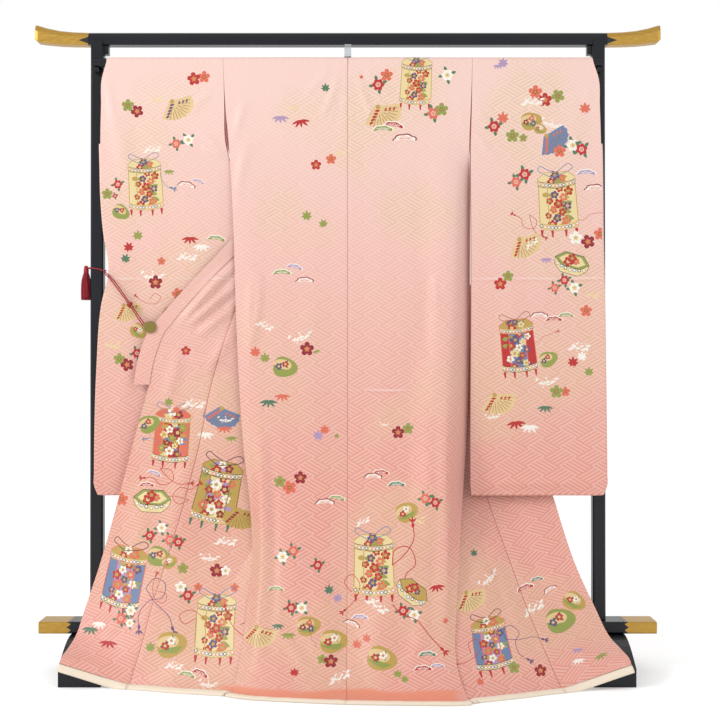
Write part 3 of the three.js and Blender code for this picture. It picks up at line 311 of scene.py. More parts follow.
# z, side x, reach, side fold x, reach, middle reach, centre reach
BACK_LEFT = [
    [1593.5, -325, 49.3, -293, 49.3, 49.3, 49.3],
    [1480, -319, 49.5, -290, 50, 50, 50],
    [1380, -310, 49.5, -285, 51, 52, 52],
    [1150, -297, 54.5, -272, 57, 58, 57],
    [940, -290, 60, -262, 65, 68, 65],
    [760, -281, 68, -252, 76, 80, 74],
    [600, -269, 80, -246, 91, 97, 90],
    [420, -247, 106, -230, 120, 134, 127],
    [290, -240, 143, -222, 160, 175, 166],
    [180, -252, 188, -230, 204, 218, 212],
    [100, -260, 228, -238, 242, 257, 252],
    [60, -266, 250, -243, 264, 283, 277],
    [30, -272, 270, -248, 284, 307, 305],
    [12, -278, 279, -253, 295, 325, 334],
    [5, -283, 284, -258, 301, 333, 361],
]
BACK_RIGHT = [
    [1593.5, 325, 49.3, 293, 49.3, 49.3, 49.3],
    [1480, 321, 49.5, 290, 50, 50, 50],
    [1380, 317, 48, 287, 51, 52, 52],
    [1290, 319, 32, 294, 52, 55, 54],
    [1150, 320, 23, 296, 54, 58, 57],
    [940, 319, 23, 291, 62, 67, 65],
    [760, 316, 24, 284, 74, 78, 74],
    [600, 309, 30, 276, 89, 96, 90],
    [455, 298, 52, 268, 116, 128, 119],
    [400, 291, 90, 264, 128, 141, 132],
    [290, 281, 148, 254, 164, 180, 166],
    [180, 271, 206, 246, 220, 229, 212],
    [100, 265, 256, 242, 266, 273, 252],
    [60, 269, 288, 244, 296, 301, 277],
    [30, 278, 322, 252, 328, 331, 305],
    [12, 287, 350, 262, 355, 353, 334],
    [5, 291, 364, 268, 370, 369, 361],
]
# z, side x, reach, pleat turn x, reach, depth, seam x, reach, edge x, reach, z, free edge x, reach, z
FRONT_LEFT = [
    [1593.5, -325, 22.7, -214, 22.7, 0, -138, 22.7, -88.6, 22.7, 1593.5, -70, 17, 1548],
    [1480, -321, 22, -214, 6, 0, -150, 0, -122, -3, 1480, -100, -22, 1450],
    [1380, -316, 27, -186, 4, 4, -142, -20, -150, -34, 1380, -160, -66, 1380],
    [1320, -300, 45, -166, 8, 8, -158, -18, -176, -30, 1320, -206, -52, 1320],
    [1260, -297, 48, -150, 12, 12, -178, -16, -205, -24, 1260, -248, -34, 1260],
    [1148, -292, 51, -166, 34, 14, -222, 18, -248, 32, 1148, -292, 44, 1148],
    [1040, -288, 55, -176, 42, 12, -272, 43, -345, 46, 1040, -389, 49, 1040],
    [940, -284, 57.5, -184, 48, 12, -297, 44.5, -436, 49, 940, -479, 50, 940],
    [881, -281, 60, -190, 50, 12, -318, 47, -482, 50, 881, -524, 50, 881],
    [752, -275, 65.5, -197, 55, 12, -357, 52, -516, 54, 752, -556, 54, 752],
    [600, -263, 77.5, -206, 66, 12, -386, 63, -557, 57, 600, -590, 52, 600],
    [420, -241, 103.5, -214, 90, 12, -431, 92, -604, 62, 420, -640, 52, 420],
    [290, -235, 140.5, -270, 130, 0, -468, 118, -639, 74, 290, -670, 60, 290],
    [180, -247, 185, -345, 164, 0, -499, 150, -673, 94, 180, -700, 80, 180],
    [105, -255, 224, -360, 198, 0, -516, 176, -692, 124, 112, -715, 104, 112],
    [60, -261, 247, -372, 221, 0, -528, 191, -704, 168, 87, -730, 150, 87],
    [25, -270, 269, -388, 242, 0, -537, 203, -711, 206, 74, -738, 196, 74],
    [10, -277, 281, -394, 254, 0, -541, 209, -713, 212, 62, -740, 203, 62],
]
FRONT_RIGHT = [
    [1593.5, 325, 22.7, 214, 22.7, 0, 138, 22.7, 88.6, 22.7, 1593.5, 70, 17, 1548],
    [1480, 322, 21, 214, 4, 0, 148, -3, 120, -6, 1480, 98, -26, 1450],
    [1380, 318, 22, 196, 2, 0, 150, -22, 140, -34, 1380, 140, -68, 1380],
    [1260, 319, 20, 180, 2, 12, 168, -26, 186, -36, 1260, 224, -52, 1260],
    [1148, 319, 18.5, 178, -2, 16, 196, -26, 230, -32, 1148, 272, -36, 1148],
    [1040, 318, 18.5, 182, -2, 18, 226, -16, 270, -20, 1040, 314, -20, 1040],
    [940, 317, 18.5, 188, 0, 18, 252, -9, 316, -11, 940, 360, -11, 940],
    [850, 316, 19, 196, 2, 18, 280, -4, 358, -5, 850, 402, -5, 850],
    [752, 314, 19.5, 204, 6, 18, 306, 1, 394, -1, 752, 434, -1, 752],
    [600, 307, 25, 214, 14, 20, 340, 8, 466, 4, 600, 500, 4, 600],
    [455, 296, 47, 232, 30, 30, 367, 14, 541, 9, 455, 573, 8, 455],
    [400, 287, 84, 250, 70, 20, 384, 38, 556, 24, 400, 588, 20, 400],
    [290, 275, 142, 300, 120, 0, 422, 80, 589, 58, 290, 620, 50, 290],
    [180, 265, 201, 340, 172, 0, 459, 128, 636, 84, 180, 668, 78, 180],
    [105, 259, 249, 358, 214, 0, 488, 178, 668, 124, 110, 700, 110, 110],
    [60, 263, 281, 374, 248, 0, 506, 212, 690, 168, 86, 720, 150, 86],
    [25, 275, 318, 396, 282, 0, 520, 233, 703, 202, 70, 730, 190, 70],
    [8, 288, 353, 404, 303, 0, 528, 245, 706, 209, 58, 735, 200, 58],
]
# z, inner x, outer x, far side's outer x, near reach, far reach
SLEEVE_LEFT = [
    [1593.5, -325.4, -634, -634, 49.3, 22.7],
    [1550, -323.6, -646, -640, 49.3, 22.7],
    [1480, -321.8, -648, -646, 49, 22.4],
    [1380, -318.5, -650, -650, 46.5, 21.5],
    [1320, -305, -649, -649, 43, 21],
    [1260, -299, -648, -648, 41, 20.5],
    [1150, -296, -640, -640, 38.5, 20],
    [1050, -293, -626, -626, 37.5, 20],
    [960, -292, -645, -645, 37, 20],
    [800, -291, -657, -657, 37, 20],
    [640, -290, -662, -662, 38, 20],
    [520, -290, -663, -663, 38, 20],
    [490, -290, -663, -663, 38, 20],
    [468, -292, -655, -655, 36, 22],
]
SLEEVE_RIGHT = [
    [1593.5, 325.4, 645, 640, 49.3, 22.7],
    [1550, 324.4, 659, 641, 49.3, 22.7],
    [1480, 323.4, 662, 650, 49.3, 22.7],
    [1380, 320.6, 665, 665, 49, 23],
    [1260, 321, 667, 667, 48.5, 23.5],
    [1150, 322, 668, 668, 48, 24],
    [1050, 322, 670, 670, 48, 24],
    [960, 322, 672, 672, 48, 24],
    [800, 321, 674, 674, 47.5, 24],
    [640, 320, 676, 676, 47, 24],
    [520, 320, 677, 677, 46.5, 24],
    [490, 320, 677, 677, 46, 24],
    [468, 322, 669, 669, 43, 27],
]
# Folds: from x, z to x, z, width, depth.
FOLDS_LEFT = [
    [-286, 1072, -446, 906, 13, 13],
    [-290, 1040, -430, 908, 8, -5],
    [-286, 1014, -424, 902, 12, 12],
    [-290, 984, -404, 898, 8, -5],
    [-292, 952, -396, 880, 13, 9],
    [-300, 900, -372, 760, 14, 5],
    [-322, 806, -412, 822, 9, 4],
    [-318, 776, -396, 768, 8, -3],
    [-440, 850, -470, 700, 16, 6],
    [-400, 640, -452, 300, 26, 6],
    [-330, 560, -372, 200, 22, -5],
    [-480, 560, -600, 200, 28, 5],
    [-560, 210, -640, 90, 22, 5],
]
FOLDS_RIGHT = [
    [330, 470, 440, 90, 24, 7],
    [430, 440, 560, 120, 26, -5],
    [240, 1200, 300, 700, 22, 5],
    [360, 480, 404, 280, 16, 4],
    [520, 300, 640, 90, 20, 5],
    [400, 120, 470, 60, 16, 4],
]
FOLDS_BACK_LEFT = [
    [-221, 1040, -246, 850, 9, 5],
    [-236, 1060, -262, 780, 16, 5],
    [-226, 620, -214, 60, 20, 10],
    [-196, 640, -184, 80, 14, -5],
    [-60, 300, -40, 40, 32, 8],
    [-262, 1390, -296, 1200, 14, 4],
    [-270, 1500, -300, 1380, 12, 4],
    [-20, 1560, -70, 1440, 9, 4],
    [-12, 1570, -30, 1400, 7, -2],
    [-42, 1575, -112, 1500, 8, 2.5],
    [-150, 500, -110, 120, 30, 5],
    [-130, 200, -40, 70, 20, 6],
    [-190, 190, -90, 40, 18, 5],
    [-100, 980, -112, 820, 30, 3],
]
FOLDS_BACK_RIGHT = [
    [222, 1032, 240, 915, 9, 5],
    [196, 1060, 214, 800, 18, -5],
    [96, 260, 70, 30, 34, 9],
    [262, 700, 238, 140, 18, 8],
    [226, 720, 214, 120, 14, -5],
    [20, 1560, 76, 1430, 9, 4],
    [8, 1570, 26, 1420, 7, -2],
    [40, 1575, 120, 1496, 8, 2.5],
    [290, 1500, 312, 1400, 10, 3.5],
    [160, 420, 150, 120, 28, 5],
    [180, 200, 110, 60, 22, -5],
    [206, 180, 130, 40, 16, 5],
    [120, 1000, 130, 700, 34, 3],
]
SLEEVE_FOLDS = {
    -1: [
        [-390, 1416, -302, 1334, 9, 4],
        [-380, 1372, -304, 1334, 8, 3],
        [-350, 1530, -420, 1440, 14, 2.5],
        [-600, 1500, -560, 1200, 24, 4],
        [-420, 900, -460, 560, 26, 4],
        [-640, 1560, -600, 1420, 12, 4],
        [-560, 980, -590, 640, 24, 3],
    ],
    1: [
        [328, 1408, 392, 1340, 9, 3.5],
        [330, 1480, 372, 1420, 9, 3],
        [600, 1480, 570, 1180, 24, 4],
        [430, 1000, 450, 600, 30, 4],
        [640, 1560, 610, 1430, 12, 3],
        [540, 1100, 560, 760, 26, 3],
        [350, 496, 640, 492, 10, 2.5],
    ],
}
SLEEVE_FOLDS_FAR = [
    [335, 1330, 650, 1324, 6, 2.2],
    [400, 1200, 430, 760, 26, 4],
    [580, 1100, 560, 640, 30, -4],
]


def smooth(knots, values, t):
    """A smooth curve through (knot, value) pairs, where a value may be an array as long as t."""
    t = np.asarray(t, float)
    k = np.asarray(knots, float)
    v = np.stack([np.broadcast_to(x, t.shape) for x in values]).astype(float)
    gap = np.diff(k).reshape((-1,) + (1,) * t.ndim)
    slope = np.diff(v, axis=0) / gap
    tangent = np.empty_like(v)
    tangent[0], tangent[-1] = slope[0], slope[-1]
    tangent[1:-1] = (slope[:-1] * gap[1:] + slope[1:] * gap[:-1]) / (gap[1:] + gap[:-1])
    i = np.clip(np.searchsorted(k, t, side="left") - 1, 0, len(k) - 2)
    take = lambda a, j: np.take_along_axis(a, j[None], axis=0)[0]
    width = k[i + 1] - k[i]
    s = (t - k[i]) / width
    s2, s3 = s * s, s * s * s
    return (
        take(v, i) * (2 * s3 - 3 * s2 + 1) + take(tangent, i) * width * (s3 - 2 * s2 + s)
        + take(v, i + 1) * (3 * s2 - 2 * s3) + take(tangent, i + 1) * width * (s3 - s2)
    )


def columns(table):
    """A function that reads all the table's columns at some heights."""
    rows = np.array(table)[::-1]
    return lambda z: [smooth(rows[:, 0], rows[:, j], z) for j in range(1, rows.shape[1])]


def mix(a, b, t):
    return a + (b - a) * t


def relief(folds, x, z):
    """How far folds push a point out: ridges, or troughs where depth is below 0, that fade at both ends."""
    out = np.zeros_like(x)
    for x0, z0, x1, z1, width, depth in folds:
        dx, dz = x1 - x0, z1 - z0
        run = math.hypot(dx, dz)
        along = ((x - x0) * dx + (z - z0) * dz) / run**2
        across = ((x - x0) * dz - (z - z0) * dx) / run
        bend = width * 0.5 * np.sin(along * 5 + x0)
        inside = np.clip(along, 0, 1)
        out += depth * np.sin(math.pi * inside) ** 0.7 * np.exp(-(((across + bend * 0.6) / width) ** 2))
    return out


def back_surface(table, folds):
    read = columns(table)

    def at(across, z):
        side_x, side_r, fold_x, fold_r, middle, centre = read(z)
        x = smooth([0, SIDE_FOLD, 1], [side_x, fold_x, 0], across)
        reach = smooth([0, SIDE_FOLD, 0.5, 1], [side_r, fold_r, middle, centre], across)
        fade = np.clip(np.minimum(across, 1 - across) / 0.12, 0, 1)
        seam = BACK_DIP * np.exp(-(1 - across) * SHOULDER / SEAM_PULL)
        return np.stack([x, reach + fade * relief(folds, x, z) - seam, z], axis=-1)

    return at


def front_surface(table, folds):
    read = columns(table)
    knots = [0, 0.75, 1, 1.25, 2, 3, 4]

    def at(across, z):
        sx, sr, tx, tr, depth, mx, mr, ex, er, ez, fx, fr, fz = read(z)
        x = smooth(knots, [sx, mix(sx, tx, 0.8), tx, mix(mx, tx, 0.8), mx, ex, fx], across)
        # A pleat stands out before its turn and sinks after it.
        near = mix(sr, tr, 0.8) + depth * 0.3
        far = mix(mr, tr, 0.8) - depth * 0.3
        reach = smooth(knots, [sr, near, tr, far, mr, er, fr], across)
        height = np.where(across < 2, z, smooth([0, 2, 3, 4], [z, z, ez, fz], across))
        push = np.where(across > 1.6, relief(folds, x, height), 0)
        return np.stack([x, reach + push, height], axis=-1)

    return at


def seam_across(z):
    """Knot where the overlap's seam lies: 2, the seam's own, up to 1000 mm and 3, the edge's, from 1300 mm."""
    return 2 + np.clip((z - 1000) / 300, 0, 1)


def rod_point(x, turn):
    turn = turn + 0 * x
    return np.stack([x, ROD_REACH + FOLD_R * np.cos(turn), ROD_Z + FOLD_R * np.sin(turn)], axis=-1)


def by_run(back, front, x_over):
    """One length of cloth from the back hem (q below 0), round the rod, to the front hem; c runs across it."""

    def at(c, q):
        c, q = np.broadcast_arrays(np.asarray(c, float), np.asarray(q, float))
        out = np.empty(c.shape + (3,))
        for here, side, turn in ((q < 0, back, 0.0), (q > ROD_RUN, front, math.pi)):
            z = ROD_Z - np.where(q[here] < 0, -q[here], q[here] - ROD_RUN)
            p = side(c[here], np.minimum(z, CLOTH_TOP))
            t = np.clip((z - CLOTH_TOP) / (ROD_Z - CLOTH_TOP), 0, 1)[..., None]
            out[here] = mix(p, rod_point(x_over(c[here], q[here]), turn), t)
            out[here, 2] = np.where(z > CLOTH_TOP, z, p[..., 2])
        here = (q >= 0) & (q <= ROD_RUN)
        out[here] = rod_point(x_over(c[here], q[here]), q[here] / FOLD_R)
        return out

    return at


BACKS = {-1: back_surface(BACK_LEFT, FOLDS_BACK_LEFT), 1: back_surface(BACK_RIGHT, FOLDS_BACK_RIGHT)}
FRONTS = {-1: front_surface(FRONT_LEFT, FOLDS_LEFT), 1: front_surface(FRONT_RIGHT, FOLDS_RIGHT)}


def body_surface(hand):
    def front(c, z):
        edge = seam_across(z)
        inner = smooth([0, 2, 4, 6, SEAM_COUNT], [0, 0.62, 1, 1.38, edge], np.minimum(c, SEAM_COUNT))
        outer = mix(edge, 3, np.clip((c - SEAM_COUNT) / (EDGE_COUNT - SEAM_COUNT), 0, 1))
        p = FRONTS[hand](np.where(c <= SEAM_COUNT, inner, outer), z)
        p[..., 1] -= FRONT_DIP * np.exp(-np.abs(c - SEAM_COUNT) * COUNT_WIDTH / SEAM_PULL)
        return p

    over = lambda c, q: hand * SHOULDER * (1 - c / BACK_COUNT)
    return by_run(lambda c, z: BACKS[hand](c / BACK_COUNT, z), front, over)


def sleeve_surface(hand, table):
    read = columns(table)

    def wall(face):
        def at(t, z):
            inner, outer, far_outer, near_r, far_r = read(z)
            grow = np.clip((WRIST_Z - z) / 500, 0, 1)
            grow = grow * grow * (3 - 2 * grow)
            wave = 3 * grow * (np.exp(-(((t - 0.3) / 0.1) ** 2)) - np.exp(-(((t - 0.72) / 0.14) ** 2)))
            near = face == "near"
            own = near_r if near else far_r
            end = outer if near else far_outer
            join = (BACKS if near else FRONTS)[hand](0 * z, np.maximum(z, JOIN_Z))
            held = np.clip((z - JOIN_Z) / 30, 0, 1)
            reach = mix(own, join[..., 1], held * np.clip(1 - 3 * t, 0, 1)) + wave
            start = inner if near else mix(inner, join[..., 0] + hand * SLEEVE_GAP, held)
            x = mix(start, end - hand * EDGE_ROUND, t)
            folds = SLEEVE_FOLDS[hand] if near else SLEEVE_FOLDS_FAR
            fade = np.clip(np.minimum(t, 1 - t) / 0.1, 0, 1)
            lift = relief(folds, x if near else hand * x, z) * fade
            return np.stack([x, reach + (lift if near else -lift), z], axis=-1)

        return at

    def over(t, q):
        inner, outer, far_outer, near_r, far_r = read(np.full_like(t, ROD_Z))
        share = np.clip(q / ROD_RUN, 0, 1)
        return mix(hand * (SHOULDER + SLEEVE_GAP), mix(outer, far_outer, share) - hand * EDGE_ROUND, t)

    return by_run(wall("near"), wall("far"), over)


# ---------- Panels: the flat cut, with its motifs, on the surface it takes ----------
SAME = 1e-6  # lines this near, in millimetres, are one line
SLIVER = 1e-7  # doubled area below which a triangle is dropped
WELD = 2e-5  # points of two patches this near, in metres, are one point
# How far a motif keeps from a panel's edges, in counts of c and in millimetres, and its least doubled area.
ROOM_ACROSS, ROOM_ALONG, LEAST_AREA = 0.002, 0.02, 2


class Panel:
    """A sheet on the surface at(c, q), where c counts across it and q runs along it in millimetres.

    Its cloth coordinates, in millimetres, are s to the right and u up, seen from outside. In each row s is
    measured from the count anchor(q) with the sign way(q). The mesh has lines at lines_c and at stops_q; out
    gives the outer face, middle is where the back turns into the front, and the notch is left out of the cut.
    """

    def __init__(self, at, lines_c, stops_q, anchor, way, out, middle, notch=None, step=5.0, pitch=7.5):
        self.at, self.out, self.notch, self.middle = at, out, notch, middle
        self.lines_c = np.array(lines_c, float)
        self.q = np.unique(np.concatenate(
            [np.linspace(a, b, max(2, round((b - a) / step) + 1)) for a, b in zip(stops_q, stops_q[1:])]
        ))
        self.c = np.linspace(lines_c[0], lines_c[-1], 81)
        p = at(self.c[None, :], self.q[:, None])
        steps = np.linalg.norm(np.diff(p, axis=1), axis=2)
        self.run = np.concatenate([np.zeros((len(self.q), 1)), np.cumsum(steps, axis=1)], axis=1)
        hold = np.array([anchor(q) for q in self.q], float)
        self.place = np.array([np.interp(h, self.c, r) for h, r in zip(hold, self.run)])
        self.x = at(hold, self.q)[:, 0]
        self.way = np.array([way(q) for q in self.q], float)
        before = at(hold[1:], self.q[:-1])
        v = np.concatenate([[0], np.cumsum(np.linalg.norm(at(hold, self.q)[1:] - before, axis=1))])
        self.v = v - np.interp(0, self.q, v)
        self.k = self.run[:, -1].max() / (lines_c[-1] - lines_c[0])
        # Rows about a pitch apart between the stops.
        rows = []
        for a, b in zip(stops_q, stops_q[1:]):
            va, vb = np.interp([a, b], self.q, self.v)
            rows.append(np.linspace(va, vb, max(2, round((vb - va) / pitch) + 1)))
        self.lines_v = np.unique(np.round(np.concatenate(rows), 6))

    def s_of(self, c, q, front):
        """Cloth coordinate across, with the front's way of counting beyond the shoulder, or the back's."""
        c, q = np.atleast_1d(c), np.atleast_1d(q)
        i = np.clip(np.searchsorted(self.q, q) - 1, 0, len(self.q) - 2)
        t = ((q - self.q[i]) / (self.q[i + 1] - self.q[i]))[:, None]
        j = np.clip(np.searchsorted(self.c, c) - 1, 0, len(self.c) - 2)
        w = (c - self.c[j]) / (self.c[j + 1] - self.c[j])
        row = lambda k: self.run[k, j] * (1 - w) + self.run[k, j + 1] * w
        run = row(i) * (1 - t[:, 0]) + row(i + 1) * t[:, 0]
        low, high = (self.first, len(self.q) - 1) if front else (0, self.first - 1)
        keep = np.clip(i, min(low, len(self.q) - 1), max(high, 0))
        after = np.clip(i + 1, min(low, len(self.q) - 1), max(high, 0))
        place = mix(self.place[keep], self.place[after], t[:, 0])
        x = mix(self.x[keep], self.x[after], t[:, 0])
        return x + self.way[keep] * (run - place)

    @property
    def first(self):
        """First row of the front."""
        return int(np.searchsorted(self.q, self.middle))

    def place_of(self, s, u, front):
        """c and q where the cloth's s and u lie."""
        v = -u if front else u
        q = np.interp(v, self.v, self.q)
        r = np.interp(q, self.q, np.arange(len(self.q)))
        c = np.empty_like(q)
        for n, (sn, rn) in enumerate(zip(s, r)):
            i = min(int(rn), len(self.q) - 2)
            both = [
                np.interp(self.place[k] + (sn - self.x[k]) * self.way[k], self.run[k], self.c)
                for k in (i, i + 1)
            ]
            c[n] = both[0] + (both[1] - both[0]) * (rn - i)
        return c, q

    def grid(self, split_c, split_v):
        """Points where the lines cross and the edges round them, without the notch beyond both splits."""
        number, points, edges = {}, [], []
        for i, v in enumerate(self.lines_v):
            for j, c in enumerate(self.lines_c):
                if v <= split_v + SAME or c <= split_c + SAME:
                    number[i, j] = len(points)
                    points.append((c * self.k, v))
        filled = {
            (i, j) for i, j in number
            if all(corner in number for corner in ((i + 1, j), (i, j + 1), (i + 1, j + 1)))
        }
        for i, j in filled:
            for a, b, other in (
                ((i, j), (i, j + 1), (i - 1, j)), ((i + 1, j), (i + 1, j + 1), (i + 1, j)),
                ((i, j), (i + 1, j), (i, j - 1)), ((i, j + 1), (i + 1, j + 1), (i, j + 1)),
            ):
                if other not in filled:
                    edges.append((number[a], number[b]))
        return points, edges

    def cut(self, art):
        """Triangles of the cut, split along the art's outlines. Art is (s and u outline, front, ink number)."""
        c_lines, v_lines = self.lines_c, self.lines_v
        split_c, split_v = np.inf, np.inf
        if self.notch is not None:
            split_c, split_v = self.notch[0], float(np.interp(self.notch[1], self.q, self.v))
        points, edges = self.grid(split_c, split_v)
        shapes = []
        v_mid = float(np.interp(self.middle, self.q, self.v))
        for outline, front, ink in art:
            c, q = self.place_of(outline[:, 0], outline[:, 1], front)
            v = np.interp(q, self.q, self.v)
            top = min(split_c, c_lines[-1]) if front else c_lines[-1]
            low_v, high_v = (v_mid, v_lines[-1]) if front else (v_lines[0], v_mid)
            x = np.clip(c, c_lines[0] + ROOM_ACROSS, top - ROOM_ACROSS) * self.k
            v = np.clip(v, low_v + ROOM_ALONG, high_v - ROOM_ALONG)
            if abs(np.sum(x * np.roll(v, -1) - v * np.roll(x, -1))) < LEAST_AREA:
                continue
            start, n = len(points), len(x)
            points += list(zip(x.tolist(), v.tolist()))
            edges += [(start + k, start + (k + 1) % n) for k in range(n)]
            shapes.append((np.stack([x, v], axis=1), ink))
        # Type 1 keeps the triangles within the outermost edges.
        out = delaunay_2d_cdt([Vector(p) for p in points], edges, [], 1, 1e-5, False)
        flat = np.array([tuple(v) for v in out[0]])
        tris = np.array([f for f in out[2] if len(f) == 3], int)
        a, b, c = (flat[tris[:, k]] for k in range(3))
        area = (b[:, 0] - a[:, 0]) * (c[:, 1] - a[:, 1]) - (b[:, 1] - a[:, 1]) * (c[:, 0] - a[:, 0])
        tris[area < 0] = tris[area < 0][:, ::-1]
        middles = flat[tris].mean(axis=1)
        in_notch = (middles[:, 0] > split_c * self.k) & (middles[:, 1] > split_v)
        tris = tris[(np.abs(area) > SLIVER) & ~in_notch]
        ink = inked(flat[tris].mean(axis=1), shapes)
        c, q = flat[:, 0] / self.k, np.interp(flat[:, 1], self.v, self.q)
        p = self.at(c, q)
        # Normals from a small step each way.
        step_c, step_q = (c_lines[-1] - c_lines[0]) * 0.002, 0.8
        within = lambda place, line: np.clip(place, line[0], line[-1])
        dc = self.at(within(c + step_c, c_lines), q) - self.at(within(c - step_c, c_lines), q)
        dq = self.at(c, within(q + step_q, self.q)) - self.at(c, within(q - step_q, self.q))
        dc, dq = (metres(d) - metres(0 * d) for d in (dc, dq))
        n = np.cross(dc, dq) * self.out
        n /= np.maximum(np.linalg.norm(n, axis=1), 1e-12)[:, None]
        front = flat[tris][:, :, 1].mean(axis=1) > v_mid
        s = np.where(front[:, None], self.s_of(c, q, True)[tris], self.s_of(c, q, False)[tris])
        u = -np.abs(flat[:, 1])[tris]
        if self.out < 0:
            tris, s, u = tris[:, ::-1], s[:, ::-1], u[:, ::-1]
        return metres(p), n, tris, np.stack([s, u], axis=2) / 1000, ink


def inked(points, shapes):
    """The ink number at each point: that of the last outline that winds round it."""
    ink = np.zeros(len(points), int)
    rank = np.argsort(points[:, 1])
    level = points[rank, 1]
    for outline, number in shapes:
        low, high = outline.min(axis=0), outline.max(axis=0)
        near = rank[np.searchsorted(level, low[1]):np.searchsorted(level, high[1])]
        near = near[(points[near, 0] > low[0]) & (points[near, 0] < high[0])]
        if len(near) == 0:
            continue
        x, y = points[near, :1], points[near, 1:]
        ax, ay = outline.T
        bx, by = np.roll(outline, -1, axis=0).T
        side = (bx - ax) * (y - ay) - (x - ax) * (by - ay)
        up, down = (ay <= y) & (by > y) & (side > 0), (by <= y) & (ay > y) & (side < 0)
        ink[near[(up.sum(axis=1) - down.sum(axis=1)) != 0]] = number
    return ink


def welded(patches):
    """Patches of (points, normals, triangles, uv, ink) as one, with the points that coincide shared."""
    p = np.concatenate([x[0] for x in patches])
    n = np.concatenate([x[1] for x in patches])
    starts = np.cumsum([0] + [len(x[0]) for x in patches])
    tris = np.concatenate([x[2] + s for x, s in zip(patches, starts)])
    uv = np.concatenate([x[3] for x in patches])
    ink = np.concatenate([x[4] for x in patches])
    _, first, same = np.unique(np.round(p / WELD).astype(int), axis=0, return_index=True, return_inverse=True)
    same = same.ravel()
    normals = np.zeros((len(first), 3))
    np.add.at(normals, same, n)
    normals /= np.maximum(np.linalg.norm(normals, axis=1), 1e-9)[:, None]
    tris = same[tris]
    good = (tris[:, 0] != tris[:, 1]) & (tris[:, 1] != tris[:, 2]) & (tris[:, 2] != tris[:, 0])
    single = np.zeros(len(tris), bool)
    single[np.unique(np.sort(tris, axis=1), axis=0, return_index=True)[1]] = True
    good &= single
    return p[first], normals, tris[good], uv[good], ink[good]


def shell(name, patches, thickness, materials, spots=()):
    """Cloth as a closed thin shell: outer face, inner face in the second material, and rim."""
    p, n, tris, uv, ink = welded(patches)
    count = len(p)
    verts = np.concatenate([p + n * thickness / 2, p - n * thickness / 2])
    edges = np.concatenate([tris[:, [0, 1]], tris[:, [1, 2]], tris[:, [2, 0]]])
    code = edges[:, 0].astype(np.int64) * count + edges[:, 1]
    back = edges[:, 1].astype(np.int64) * count + edges[:, 0]
    rim = np.unique(edges[~np.isin(code, back)], axis=0)
    a, b = rim[:, 0], rim[:, 1]
    walls = np.concatenate([np.stack([a, a + count, b + count], 1), np.stack([a, b + count, b], 1)])
    faces = np.concatenate([tris, tris[:, ::-1] + count, walls])
    corners = np.concatenate([uv, uv[:, ::-1], np.zeros((len(walls), 3, 2))])
    o = new_object(
        name, verts, faces, materials, index=np.repeat([0, 1, 1], [len(tris), len(tris), len(walls)]),
        uv=corners, normals=np.concatenate([n, -n]),
    )
    inks = np.concatenate([ink, np.zeros(len(tris) + len(walls), int)])
    dye = o.data.color_attributes.new("dye", "FLOAT_COLOR", "CORNER")
    dye.data.foreach_set("color", np.repeat(INKS[inks], 3, axis=0).astype(np.float32).ravel())
    # Gold mist gathers round the larger motifs.
    amount, (s, u) = np.zeros(3 * len(faces)), corners.reshape(-1, 2).T
    for spot_s, spot_u, reach in spots:
        amount += np.exp(-(((s - spot_s) / reach) ** 2 + ((u - spot_u) / reach / 0.8) ** 2))
    haze = o.data.attributes.new("haze", "FLOAT", "CORNER")
    haze.data.foreach_set("value", np.minimum(amount, 1).astype(np.float32))
    return o


EDGE_STEP = 0.0015  # cloth from one row of a rounded edge to the next


def edge_patch(near, far, n_near, n_far, outward, bulge, uv_near):
    """A rounded edge from one wall's rim to the other's."""
    steps = 7
    turns = np.linspace(0, math.pi, steps)
    p = [mix(near, far, (1 - math.cos(a)) / 2) + outward * bulge * math.sin(a) for a in turns]
    n = [max(math.cos(a), 0) * n_near + max(-math.cos(a), 0) * n_far + math.sin(a) * outward for a in turns]
    rows = len(near)
    points, normals = np.concatenate(p), np.concatenate(n)
    normals /= np.linalg.norm(normals, axis=1)[:, None]
    tris, uv = [], []
    for k in range(steps - 1):
        for i in range(rows - 1):
            quad = [(k, i), (k, i + 1), (k + 1, i + 1), (k + 1, i)]
            for corners in ((0, 1, 2), (0, 2, 3)):
                tris.append([quad[j][0] * rows + quad[j][1] for j in corners])
                uv.append([uv_near[quad[j][1]] + (EDGE_STEP * quad[j][0], 0) for j in corners])
    tris, uv = np.array(tris), np.array(uv)
    face = np.cross(points[tris[:, 1]] - points[tris[:, 0]], points[tris[:, 2]] - points[tris[:, 0]])
    if (face * normals[tris[:, 0]]).sum() < 0:
        tris, uv = tris[:, ::-1], uv[:, ::-1]
    return points, normals, tris, uv, np.zeros(len(tris), int)


# ---------- Motifs: flowers, leaves, shells and shell boxes, drawn in millimetres ----------
def turned(px, py, x, y, turn, scale=1.0):
    """Points turned and scaled about their origin, which is then laid at x, y."""
    c, s = math.cos(turn) * scale, math.sin(turn) * scale
    return np.stack([x + px * c - py * s, y + px * s + py * c], axis=1)


def ring(radii, x=0.0, y=0.0, turn=0.0, squash=1.0):
    """Outline through radii at even turns."""
    a = np.arange(len(radii)) * 2 * math.pi / len(radii)
    return turned(np.cos(a) * radii, np.sin(a) * radii * squash, x, y, turn)


